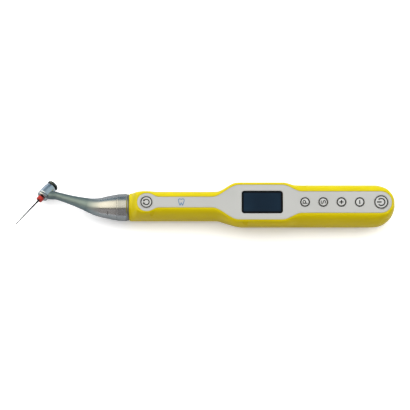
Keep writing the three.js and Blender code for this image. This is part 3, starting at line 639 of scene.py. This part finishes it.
key_plastic = moulded_key()
key_ink = printed_ink("printed_grey_ink", "#161714", "#20211D")
for name, (x, radius) in KEYS.items():
    key = spun(name + "_key_cap", [
        (0, KEY_STEM_Z), (radius - 1.4, KEY_STEM_Z), (radius - 1.4, PANEL_BACK_Z + 0.15),
        (radius, PANEL_BACK_Z + 0.15), (radius, KEY_TOP_Z), (0, KEY_TOP_Z)],
        axis="Z", centre=(x, 0, 0), count=64)
    soften(key, 0.14)
    hand_over(key, name + "_button", "key_plastic", key_plastic, name + "_key")
    ring_r = RING_R.get(name, SMALL_RING_R)
    ring = spun(name + "_key_print", [
        (ring_r - INK_LINE / 2, KEY_TOP_Z - 0.1), (ring_r + INK_LINE / 2, KEY_TOP_Z - 0.1),
        (ring_r + INK_LINE / 2, INK_TOP_Z), (ring_r - INK_LINE / 2, INK_TOP_Z)],
        axis="Z", centre=(x, 0, 0), count=64)
    sign = smooth(joined([ring] + [ink(outline) for outline in signs(name, x)]))
    hand_over(sign, name + "_button", "key_plastic", key_ink)

# ---- Chevron on the panel ---------------------------------------------------------------------
# A thin rib moulded on the panel behind the direction key, pointing along the handle. It has the
# panel's own paint, so it shows only by its edges.

CHEVRON = ((-72.9, 3.0), (-69.3, 0.0), (-72.9, -3.0))
CHEVRON_LINE, CHEVRON_PROUD = 0.45, 0.06

rib = prism("panel_chevron_rib", stroke(CHEVRON, CHEVRON_LINE), FRONT_Z - 0.1,
            FRONT_Z + CHEVRON_PROUD)
hand_over(smooth(rib), "handle", "panel_film", panel_paint)

# ---- Printed mark on the neck -----------------------------------------------------------------
# A small plain outline of a tooth, pad-printed on the panel's narrow strip in slate blue.

MARK_X = -54.0
TOOTH = [(0.0, 1.75), (0.75, 2.15), (1.6, 2.0), (1.95, 1.1), (1.65, 0.0), (1.3, -1.2),
         (0.85, -2.2), (0.45, -1.6), (0.25, -0.75), (0.0, -0.45)]


def rounded_path(points, count=6):
    """A smooth curve through points, by Catmull and Rom's rule."""
    ends = [points[0]] + list(points) + [points[-1]]
    path = []
    for i in range(1, len(points)):
        a, b, c, d = (Vector(p) for p in ends[i - 1:i + 3])
        for k in range(count):
            t = k / count
            path.append(tuple((b * 2 + (c - a) * t + (a * 2 - b * 5 + c * 4 - d) * t * t
                               + (b * 3 - a - c * 3 + d) * t ** 3) / 2))
    return path + [points[-1]]


halves = []
for side in (1, -1):
    path = rounded_path([(MARK_X + side * x, y) for x, y in TOOTH])
    halves.append(prism("mark", stroke(path, 0.5), FRONT_Z - 0.05, FRONT_Z + 0.02))
mark = joined(halves)
mark.name = "tooth_mark_print"
hand_over(smooth(mark), "handle", "panel_film", printed_ink("printed_slate_ink", "#2C5D84", "#356890"))

# ---- Screws and charging contacts ---------------------------------------------------------------
# Three pan-head steel screws with a cross recess sit deep in the rear shell. Two gold-plated
# studs beside them meet the charging cradle.

SCREW_HEAD_R, SCREW_HEAD_Z, SCREW_NECK_Z = 2.0, 2.9, 4.3


def machined_steel(name, light, dark, shiny, dull, scratch_scale):
    """Machined stainless steel: a slightly cloudy polish, and hairlines along its length that
    are really 0.02 mm wide, drawn as coarse as they need to show."""
    material, tree, shader, place = start_material(name, Metallic=1.0)
    cloud = add(tree, "ShaderNodeTexNoise", {"Vector": place, "Scale": 120.0, "Detail": 3.0})
    along = add(tree, "ShaderNodeMapping", {"Vector": place, "Scale": (0.08, 1.0, 1.0)})
    hair = add(tree, "ShaderNodeTexNoise",
               {"Vector": along.outputs["Vector"], "Scale": scratch_scale, "Detail": 3.0})
    polish = add(tree, "ShaderNodeMapRange",
                 {"Value": hair.outputs["Fac"], "From Min": 0.3, "From Max": 0.7,
                  "To Min": shiny, "To Max": dull})
    bump = add(tree, "ShaderNodeBump",
               {"Height": hair.outputs["Fac"], "Strength": 0.02, "Distance": 0.0001})
    feed(tree, shader, two_tone(tree, cloud.outputs["Fac"], dark, light),
         polish.outputs["Result"], bump.outputs["Normal"])
    return material


def gold_plate():
    """Thin gold over nickel: warm and bright, rubbed a little dull in patches by use."""
    material, tree, shader, place = start_material("gold_plated_contact", Metallic=1.0)
    wear = add(tree, "ShaderNodeTexNoise", {"Vector": place, "Scale": 800.0, "Detail": 2.0})
    polish = add(tree, "ShaderNodeMapRange",
                 {"Value": wear.outputs["Fac"], "To Min": 0.12, "To Max": 0.3})
    feed(tree, shader, two_tone(tree, wear.outputs["Fac"], "#D9AE55", "#E8C878"),
         polish.outputs["Result"])
    return material


screw_steel = machined_steel("zinc_plated_screw_steel", "#C4C8CA", "#A9AEB0", 0.2, 0.34, 600.0)
for index, (x, y) in enumerate(SCREW_AT):
    screw = spun(f"shell_screw_{index + 1}_machined", [
        (0, SCREW_HEAD_Z), (1.4, SCREW_HEAD_Z), (SCREW_HEAD_R, SCREW_HEAD_Z + 0.45),
        (SCREW_HEAD_R, SCREW_NECK_Z), (1, SCREW_NECK_Z), (1, 13.6), (0.5, 14.4), (0, 14.4)],
        axis="Z", centre=(x, y, 0), count=48)
    cross = combine(box((x - 1.2, y - 0.28, 2), (x + 1.2, y + 0.28, 3.8)),
                    [box((x - 0.28, y - 1.2, 2), (x + 0.28, y + 1.2, 3.8))], "UNION")
    combine(screw, [cross])
    hand_over(soften(screw, 0.06, 2), "handle", "steel_satin", screw_steel,
              f"shell_screw_{index + 1}")
gold = gold_plate()
for index, x in enumerate(CHARGE_X):
    stud = spun(f"charge_contact_{index + 1}_stud", [
        (0, 0.35), (1.2, 0.35), (1.5, 0.6), (1.5, 3.2), (0.6, 3.2), (0.6, 6), (0, 6)],
        axis="Z", centre=(x, 0, 0), count=48)
    hand_over(soften(stud, 0.12), "handle", "brass_contact", gold, f"charge_contact_{index + 1}")

# ---- Contra-angle: rear ring ----------------------------------------------------------------
# The ring that is gripped to turn the contra-angle and pull it off: turned stainless steel with
# a tail that plugs into the nose socket and carries an O-ring in a groove.

HEAD_ROLL = math.radians(-21)
NECK_ANGLE, FILE_ANGLE = math.radians(19.6), math.radians(53.4)
RING_X, ELBOW_X, NECK_LENGTH, NECK_HEIGHT = -97.2, -110.8, 36.6, 4.5
CONTRA = Matrix.Translation((0, 0, AXIS_Z * MM)) @ Matrix.Rotation(HEAD_ROLL, 4, "X")
TAIL_R, O_RING_X = 5.2, NOSE_X + 4.6


def placed(piece, frame_matrix):
    """Puts a piece that was made in its own frame into the part's frame."""
    pick(piece)
    piece.matrix_world = frame_matrix
    bpy.ops.object.transform_apply(location=True, rotation=True, scale=True)
    return piece


satin_steel = machined_steel("satin_turned_stainless_steel", "#ADB0B1", "#A2A5A6", 0.22, 0.28, 500.0)
front, back = RING_X + 0.06, NOSE_X - 1.16
ring = spun("contra_angle_rear_ring", [
    (4.3, front), (8.8, front), (9.0, front + 0.5), (9.25, back - 0.5), (8.9, back),
    (TAIL_R, back), (TAIL_R, O_RING_X - 0.4), (4.75, O_RING_X - 0.4), (4.75, O_RING_X + 0.4),
    (TAIL_R, O_RING_X + 0.4), (TAIL_R, -77.5), (4.3, -77.5)], centre=(0, 0, 0))
placed(soften(ring, 0.12), CONTRA)
hand_over(ring, "contra_angle", "steel_satin", satin_steel, "contra_rear_ring")

# ---- Contra-angle: sleeve and neck -----------------------------------------------------------
# One hollow stainless casting, ground and polished to satin. It tapers from the ring through a
# soft elbow to the head, where its underside flares into a chin that holds the head's barrel.

HEAD_R = 4.05
TAPER = [(0, 8.75), (7, 7.45), (14, 5.9), (20, 4.65), (27, 3.6), (36, 2.85), (52, 2.35)]
BEND = 5.5                        # how far the elbow's curve reaches each way
NECK_WALL = 1.15
SLEEVE_FROM = RING_X - 0.06
CHIN, CHIN_LENGTH = 1.5, 9.0
NECK_WAY = Vector((-math.cos(NECK_ANGLE), math.sin(NECK_ANGLE), 0))
NECK_END = Vector((ELBOW_X, 0, 0)) + NECK_WAY * NECK_LENGTH
HEAD_BOTTOM = NECK_END - Vector((math.cos(FILE_ANGLE), math.sin(FILE_ANGLE), 0)) * NECK_HEIGHT
HEAD = CONTRA @ Matrix.Translation(HEAD_BOTTOM * MM) @ Matrix.Rotation(FILE_ANGLE, 4, "Z")
STRAIGHT = SLEEVE_FROM - (ELBOW_X + BEND)
CURVED = 2 * BEND * 0.99          # length of the elbow's curve
NECK_TOTAL = STRAIGHT + CURVED + NECK_LENGTH - BEND


def taper(far):
    """Radius of the sleeve and neck at a distance along their middle line."""
    i = max(k for k, (place, _) in enumerate(TAPER[:-1]) if place <= far)
    share = (far - TAPER[i][0]) / (TAPER[i + 1][0] - TAPER[i][0])
    a, b, c, d = (TAPER[min(max(k, 0), len(TAPER) - 1)][1] for k in range(i - 1, i + 3))
    return (2 * b + (c - a) * share + (2 * a - 5 * b + 4 * c - d) * share ** 2
            + (3 * b - a - 3 * c + d) * share ** 3) / 2


def neck_line(far):
    """Place and direction of the middle line at a distance along it."""
    before = Vector((ELBOW_X + BEND, 0, 0))
    elbow = Vector((ELBOW_X, 0, 0))
    after = elbow + NECK_WAY * BEND
    if far <= STRAIGHT:
        return Vector((SLEEVE_FROM - far, 0, 0)), Vector((-1, 0, 0))
    if far >= STRAIGHT + CURVED:
        return after + NECK_WAY * (far - STRAIGHT - CURVED), NECK_WAY
    t = (far - STRAIGHT) / CURVED
    place = before * (1 - t) ** 2 + elbow * 2 * t * (1 - t) + after * t * t
    return place, ((elbow - before) * (1 - t) + (after - elbow) * t).normalized()


def neck_point(far, share, inset=0.0):
    """A point of the outside, with its chin and seam, or of a tube inset from it."""
    place, along = neck_line(far)
    across = Vector((-along.y, along.x, 0))
    angle = math.tau * share
    radius = taper(far) - inset
    if not inset:
        under = max(0.0, math.cos(angle)) ** 1.5
        radius += CHIN * under * blend(far, NECK_TOTAL - CHIN_LENGTH, NECK_TOTAL - 3, 0, 1)
        radius -= SEAM_DEPTH * max(0.0, 1 - abs(far - SEAM_FAR) / SEAM_HALF)
    return (place + across * radius * math.cos(angle)
            + Vector((0, 0, radius * math.sin(angle)))) * MM


def neck_bore(far, share):
    """The bore follows the outside and runs straight out past both ends."""
    within = min(max(far, 0), NECK_TOTAL)
    return neck_point(within, share, NECK_WALL) + neck_line(within)[1] * MM * (far - within)


def blasted_and_shaded_neck(material):
    """The sleeve keeps its satin polish. Past the elbow the neck is bead-blasted rough, so it mirrors
    nothing sharply; its colour there is painted darker and blue-grey, a painted shade and reflection
    that stand in for the neck's dim look."""
    tree = material.node_tree
    shader = tree.nodes["Principled BSDF"]
    place = add(tree, "ShaderNodeTexCoord").outputs["Object"]
    along = add(tree, "ShaderNodeSeparateXYZ", {"Vector": place}).outputs["X"]
    share = add(tree, "ShaderNodeMapRange",
                {"Value": along, "From Min": BLAST_AND_SHADE_FROM * MM, "From Max": BLAST_AND_SHADE_TO * MM})
    # Past the elbow the steel's colour gives way to painted shade: a darker blue-grey.
    for socket, kind, sides, dull in (("Base Color", "RGBA", (6, 7, 2), linear("#77878A")),
                                      ("Roughness", "FLOAT", (2, 3, 0), 0.55)):
        before, after, out = sides       # the mix node's sockets for that kind of value
        mix = add(tree, "ShaderNodeMix", {"Factor": share.outputs["Result"]}, data_type=kind)
        tree.links.new(shader.inputs[socket].links[0].from_socket, mix.inputs[before])
        mix.inputs[after].default_value = dull
        tree.links.new(mix.outputs[out], shader.inputs[socket])
    return material


SEAM_FAR = STRAIGHT + CURVED + 0.6       # a fine turned groove just past the elbow
SEAM_DEPTH, SEAM_HALF = 0.12, 0.2
BLAST_AND_SHADE_FROM, BLAST_AND_SHADE_TO = -108, -118
stations = [0, 0.15, 0.5] + steps(1, SEAM_FAR - 0.4, 36) + steps(SEAM_FAR - 0.4, SEAM_FAR + 0.4, 8)
stations += steps(SEAM_FAR + 0.4, NECK_TOTAL - CHIN_LENGTH, 26)
stations += steps(NECK_TOTAL - CHIN_LENGTH, NECK_TOTAL, 24) + [NECK_TOTAL]
neck = skin("contra_angle_sleeve_and_neck", stations, 80, neck_point)
tube = skin("tube", [-0.5] + steps(0, NECK_TOTAL, 30) + [NECK_TOTAL + 1], 48, neck_bore)
combine(neck, [tube])
placed(neck, CONTRA)
head_bore = placed(spun("head_bore", [(0, -3), (HEAD_R + 0.06, -3), (HEAD_R + 0.06, 16), (0, 16)],
                        centre=(0, 0, 0), count=72), HEAD)
combine(neck, [head_bore])
neck_steel = blasted_and_shaded_neck(machined_steel(
    "satin_steel_sleeve_and_blasted_shaded_neck", "#ADB0B1", "#A2A5A6", 0.22, 0.28, 500.0))
hand_over(smooth(neck, 40), "contra_angle", "steel_satin", neck_steel, "contra_body")

# ---- Contra-angle: index line -------------------------------------------------------------------
# A short laser-marked line on the sleeve that shows how the head stands when it is gripped.

INDEX_FAR, INDEX_LONG, INDEX_WIDE = 6.1, 2.7, 0.4
INDEX_TURN = math.radians(65)            # round the sleeve from its top, away from the bend


def index_point(along, share):
    """A corner of the line's thin section: two on the sleeve's surface and two below it."""
    far = INDEX_FAR + (INDEX_WIDE / 2 if share < 0.5 else -INDEX_WIDE / 2)
    radius = taper(far) + (0.02 if share in (0.25, 0.5) else -0.2)
    turn = INDEX_TURN + along / radius
    return Vector((SLEEVE_FROM - far, -radius * math.sin(turn), radius * math.cos(turn))) * MM


index_line = skin("index_line_marking", steps(-INDEX_LONG / 2, INDEX_LONG / 2, 10)
                  + [INDEX_LONG / 2], 4, index_point)
hand_over(placed(smooth(index_line), CONTRA), "contra_angle", "steel_satin",
          printed_ink("laser_marked_steel", "#2B2C2D", "#38393A"))

# ---- Contra-angle: head ------------------------------------------------------------------------
# A turned barrel that holds the spindle, closed below by a screwed ring nut and above by the
# sprung push cap that frees the file. The cap is of darker polished steel, with a domed top.

HEAD_PROFILE = [(3.3, 1.75), (HEAD_R - 0.3, 1.75), (HEAD_R, 2.15), (HEAD_R, 8.3),
                (HEAD_R - 0.35, 9.4), (HEAD_R - 0.35, 10.0), (3.1, 10.0), (3.1, 9.3), (3.3, 9.3)]
NUT_PROFILE = [(2.1, 0), (3.4, 0), (3.9, 0.5), (3.9, 1.62), (2.1, 1.62)]
CAP_PROFILE = [(0, 10.4), (2.6, 10.4), (2.6, 11), (3.75, 11), (3.98, 11.25), (3.98, 12),
               (3.62, 12.5), (2.7, 12.92), (1.4, 13.14), (0, 13.2)]
polished_steel = machined_steel("polished_stainless_steel", "#B4B8BA", "#A9AEB0", 0.12, 0.2, 400.0)
cap_steel = machined_steel("polished_dark_steel_cap", "#5F6663", "#555C5A", 0.14, 0.22, 400.0)
# The barrel's steel is tinted blue-grey: a painted reflection of the bluish room it mirrors.
barrel_steel = machined_steel("turned_steel_painted_blue_reflection", "#C3CEDA", "#B8C3CF", 0.2, 0.26, 500.0)
barrel = spun("head_barrel", HEAD_PROFILE, centre=(0, 0, 0))
nut = spun("head_ring_nut", NUT_PROFILE, centre=(0, 0, 0))
cap = spun("head_push_cap", CAP_PROFILE, centre=(0, 0, 0))
for piece, width in ((barrel, 0.15), (nut, 0.12), (cap, 0.1)):
    placed(soften(piece, width, angle=25), HEAD)
hand_over(barrel, "contra_angle", "steel_satin", barrel_steel, "head_housing")
hand_over(nut, "contra_angle", "steel_bright", polished_steel, "head_nut")
hand_over(cap, "head_cap", "steel_bright", cap_steel, "push_cap")

# ---- File and stop ------------------------------------------------------------------------------
# A rotary root-canal file of nickel-titanium: a smooth shank in the head, and a tapering blade
# with three ground flutes that wind towards its tip. A red silicone stop slides on it.

FILE_LENGTH, BLADE_FROM = 28.4, -8.0
SHANK_R, WAIST_R, BLADE_R, TIP_R = 1.15, 0.62, 0.58, 0.28
FLUTES, FLUTE_DEPTH, FLUTE_TURN = 3, 0.24, math.tau / 2.1    # the last for each millimetre


def file_point(along, share):
    """The file's surface: a shank, a smooth waist, and a blade that tapers to a blunt tip."""
    if along >= -0.6:
        radius = SHANK_R if along > -0.3 else WAIST_R
    elif along >= BLADE_FROM:
        radius = WAIST_R - (-0.6 - along) * 0.015
    else:
        worn = (BLADE_FROM - along) / (FILE_LENGTH + BLADE_FROM)
        radius = BLADE_R + (TIP_R - BLADE_R) * worn
    cut = min(1.0, max(0.0, (BLADE_FROM - along) / 0.8))
    turn = math.tau * share
    phase = FLUTES * turn - along * FLUTE_TURN
    radius *= 1 - FLUTE_DEPTH * cut * (0.5 + 0.5 * math.cos(phase)) ** 2
    if along < -FILE_LENGTH + 0.15:
        radius *= 0.5
    return Vector((along, radius * math.cos(turn), radius * math.sin(turn))) * MM


def nickel_titanium():
    """Ground nickel-titanium: a dark grey metal, shinier and duller in fine grinding marks."""
    material, tree, shader, place = start_material("ground_nickel_titanium", Metallic=1.0)
    lines = add(tree, "ShaderNodeTexNoise", {"Vector": place, "Scale": 2500.0, "Detail": 2.0})
    grind = add(tree, "ShaderNodeMapRange",
                {"Value": lines.outputs["Fac"], "To Min": 0.22, "To Max": 0.4})
    feed(tree, shader, two_tone(tree, lines.outputs["Fac"], "#212326", "#2C2E31"),
         grind.outputs["Result"])
    return material


def silicone_red():
    """Soft moulded silicone, clear red-orange right through: light goes a little way in."""
    material, tree, shader, place = start_material(
        "moulded_red_silicone", IOR=1.41, Subsurface_Weight=0.15, Subsurface_Scale=0.0008)
    dust = add(tree, "ShaderNodeTexNoise", {"Vector": place, "Scale": 900.0, "Detail": 2.0})
    shine = add(tree, "ShaderNodeMapRange",
                {"Value": dust.outputs["Fac"], "To Min": 0.25, "To Max": 0.42})
    feed(tree, shader, two_tone(tree, dust.outputs["Fac"], "#98201A", "#A42A1E"),
         shine.outputs["Result"])
    return material


stations = steps(8.5, -0.29, 4) + [-0.3, -0.31, -0.6, -0.61] + steps(-1.2, BLADE_FROM, 6)
stations += steps(BLADE_FROM, -FILE_LENGTH + 0.16, 170) + [-FILE_LENGTH + 0.14, -FILE_LENGTH]
canal_file = placed(skin("root_canal_file_fluted", stations, 24, file_point), HEAD)
hand_over(smooth(canal_file, 50), "file", "file_alloy", nickel_titanium(), "root_canal_file")
stop = spun("silicone_file_stop", [(0.66, -3.4), (2.2, -3.4), (2.2, -0.6), (0.66, -0.6)],
            centre=(0, 0, 0), count=64)
placed(soften(stop, 0.55, 5), HEAD)
hand_over(stop, "stop", "silicone_red", silicone_red(), "file_stop")

# ---- Inner parts ------------------------------------------------------------------------------
# What the shells hide keeps its plain shape: boards, motor, cell, shafts, bearings, springs.
# Each gets the finish of its kind.


def board_laminate():
    """Glass-fibre board under green solder mask, with the weave faint below it, 0.6 mm apart."""
    material, tree, shader, place = start_material("solder_masked_laminate", IOR=1.55)
    weave = add(tree, "ShaderNodeTexChecker", {
        "Vector": place, "Scale": 1600.0, "Color1": linear("#1C5236"), "Color2": linear("#205C3C")})
    cloud = add(tree, "ShaderNodeTexNoise", {"Vector": place, "Scale": 80.0})
    shine = add(tree, "ShaderNodeMapRange",
                {"Value": cloud.outputs["Fac"], "To Min": 0.3, "To Max": 0.45})
    feed(tree, shader, weave.outputs["Color"], shine.outputs["Result"])
    return material


def plain_moulding(name, first, second, shiny, dull):
    """A moulded or dipped skin with a fine even grain, in two close tones."""
    material, tree, shader, place = start_material(name, IOR=1.5)
    grain = add(tree, "ShaderNodeTexNoise", {"Vector": place, "Scale": 1200.0, "Detail": 2.0})
    shine = add(tree, "ShaderNodeMapRange",
                {"Value": grain.outputs["Fac"], "To Min": shiny, "To Max": dull})
    bump = add(tree, "ShaderNodeBump",
               {"Height": grain.outputs["Fac"], "Strength": 0.1, "Distance": 0.0001})
    feed(tree, shader, two_tone(tree, grain.outputs["Fac"], first, second),
         shine.outputs["Result"], bump.outputs["Normal"])
    return material


finishes = {
    "steel_satin": satin_steel, "steel_bright": polished_steel, "brass_contact": gold,
    "board_laminate": board_laminate(),
    "dark_plastic": plain_moulding("moulded_black_nylon", "#1C1E20", "#232628", 0.4, 0.55),
    "cell_wrap": plain_moulding("shrunk_blue_cell_wrap", "#2F6FA8", "#3577B0", 0.3, 0.4),
    "rubber_black": plain_moulding("moulded_black_rubber", "#17181A", "#1E2022", 0.6, 0.75),
    "silicone_red": plain_moulding("red_wire_insulation", "#B52A20", "#BE3226", 0.4, 0.5),
}
for part in frame["record"]["subparts"]:
    node = frame["nodes"][part["node"]]
    if not node.hide_render:
        node.data.materials.clear()
        node.data.materials.append(finishes[part["material_slot"]])

# ---- Studio ---------------------------------------------------------------------------------
# A plain white table in a pale room, lit softly from above and behind, with a low warm light
# in front. What polished metal mirrors is set apart: a long cream softbox overhead with a dark
# strip along its near side, and grey walls.

TABLE_SIZE, TABLE_CLEAR = 12.0, 0.00003
CAMERA_AIM = Vector((-38.2, -2.07, 25)) * MM
CAMERA_FAR, CAMERA_RISE, LENS, SENSOR = 2.0, math.radians(75), 263.5, 36
CARD_FROM, CARD_TO = -0.16, -0.2      # where the table's brighter end starts, in metres
SHADOW_LIFT = 0.35

bpy.ops.object.select_all(action="DESELECT")
bpy.ops.mesh.primitive_plane_add(size=TABLE_SIZE, location=(0, 0, -TABLE_CLEAR))
table = bpy.context.object
table.name = "table"


def white_table():
    """A matt white table. Polished metal mirrors it dimmer, but for the end by the head, and a
    little light of its own keeps its shadows pale to the eye."""
    material, tree, shader, place = start_material("matt_white_table", Roughness=0.9)
    rays = add(tree, "ShaderNodeLightPath")
    along = add(tree, "ShaderNodeSeparateXYZ", {"Vector": place}).outputs["X"]
    card = add(tree, "ShaderNodeMapRange",
               {"Value": along, "From Min": CARD_FROM, "From Max": CARD_TO})
    dim = two_tone(tree, card.outputs["Result"], "#A9AEB2", "#F4F8FC", 0, 1)
    paper = add(tree, "ShaderNodeMix", {"Factor": rays.outputs["Is Glossy Ray"]},
                data_type="RGBA")
    paper.inputs[6].default_value = linear("#F7F7F6")
    tree.links.new(dim, paper.inputs[7])
    feed(tree, shader, paper.outputs[2])
    lift = add(tree, "ShaderNodeMath", operation="MULTIPLY")
    tree.links.new(rays.outputs["Is Camera Ray"], lift.inputs[0])
    lift.inputs[1].default_value = SHADOW_LIFT
    shader.inputs["Emission Color"].default_value = linear("#F7FAFF")
    tree.links.new(lift.outputs[0], shader.inputs["Emission Strength"])
    return material


table.data.materials.append(white_table())

ROOM_LIGHT = 2.5
LIGHT_BANDS = [(0.0, "#787470"), (0.17, "#787470"), (0.22, "#242423"), (0.41, "#242423"),
               (0.455, "#FFFFFF"), (0.9, "#FFFFFF"), (0.95, "#66747C"), (1.0, "#66747C")]
MIRROR_BANDS = [(0.0, "#857F7C"), (0.16, "#857F7C"), (0.21, "#969090"), (0.27, "#4A4543"),
                (0.335, "#4A4543"), (0.385, "#FFF3DA"), (0.84, "#FFF3DA"), (0.9, "#75858D"),
                (1.0, "#66747C")]
MIRROR_SIDES = [(0.3, "#FFFFFF"), (0.42, "#DCDCDC"), (0.56, "#7E8FA0"), (0.7, "#7E8FA0")]
room = bpy.data.worlds.new("room")
bpy.context.scene.world = room
room.use_nodes = True
tree = room.node_tree
way = add(tree, "ShaderNodeTexCoord").outputs["Generated"]
across = add(tree, "ShaderNodeSeparateXYZ", {"Vector": way})


def bands(axis, stops):
    """A ramp of colours over a direction's X or Y, which runs from -1 to 1."""
    share = add(tree, "ShaderNodeMapRange",
                {"Value": across.outputs[axis], "From Min": -1.0, "From Max": 1.0})
    ramp = add(tree, "ShaderNodeValToRGB", {"Fac": share.outputs["Result"]})
    while len(ramp.color_ramp.elements) < len(stops):
        ramp.color_ramp.elements.new(0.5)
    for element, (position, code) in zip(ramp.color_ramp.elements, stops):
        element.position = position
        element.color = linear(code)
    return ramp.outputs["Color"]


def mixed(factor, first, second, blend_type="MIX"):
    node = add(tree, "ShaderNodeMix", data_type="RGBA", blend_type=blend_type)
    for socket, value in zip((node.inputs["Factor"], node.inputs[6], node.inputs[7]),
                             (factor, first, second)):
        if isinstance(value, bpy.types.NodeSocket):
            tree.links.new(value, socket)
        else:
            socket.default_value = value
    return node.outputs[2]


rays = add(tree, "ShaderNodeLightPath")
mirrored = mixed(1.0, bands("Y", MIRROR_BANDS), bands("X", MIRROR_SIDES), "MULTIPLY")
light = mixed(rays.outputs["Is Glossy Ray"], bands("Y", LIGHT_BANDS), mirrored)
shown = mixed(rays.outputs["Is Camera Ray"], light, linear("#FFFFFF"))
tree.links.new(shown, tree.nodes["Background"].inputs["Color"])
tree.nodes["Background"].inputs["Strength"].default_value = ROOM_LIGHT

# Two wide soft lights that polished metal doesn't mirror: a name, a way, a power and a tint.
LAMPS = (("window_light", (-0.1, 0.75, 0.6), 0.4, "#FFFFFF"),
         ("warm_wall_light", (0, -1, 0.12), 0.5, "#FFC890"))
LAMP_ANGLE = math.radians(40)
for name, source, energy, tint in LAMPS:
    sun = bpy.data.lights.new(name, "SUN")
    sun.angle = LAMP_ANGLE
    sun.energy = energy
    sun.color = linear(tint)[:3]
    lamp = bpy.data.objects.new(name, sun)
    bpy.context.scene.collection.objects.link(lamp)
    lamp.visible_glossy = False
    lamp.rotation_euler = Vector(source).to_track_quat("Z", "Y").to_euler()

camera = bpy.data.objects.new("camera", bpy.data.cameras.new("camera"))
bpy.context.scene.collection.objects.link(camera)
camera.data.sensor_width = SENSOR
camera.data.lens = LENS
camera.data.clip_start = 0.01
camera.location = CAMERA_AIM + CAMERA_FAR * Vector(
    (0, -math.cos(CAMERA_RISE), math.sin(CAMERA_RISE)))
camera.rotation_euler = (CAMERA_AIM - camera.location).to_track_quat("-Z", "Y").to_euler()
bpy.context.scene.camera = camera
bpy.context.scene.view_settings.view_transform = "Standard"
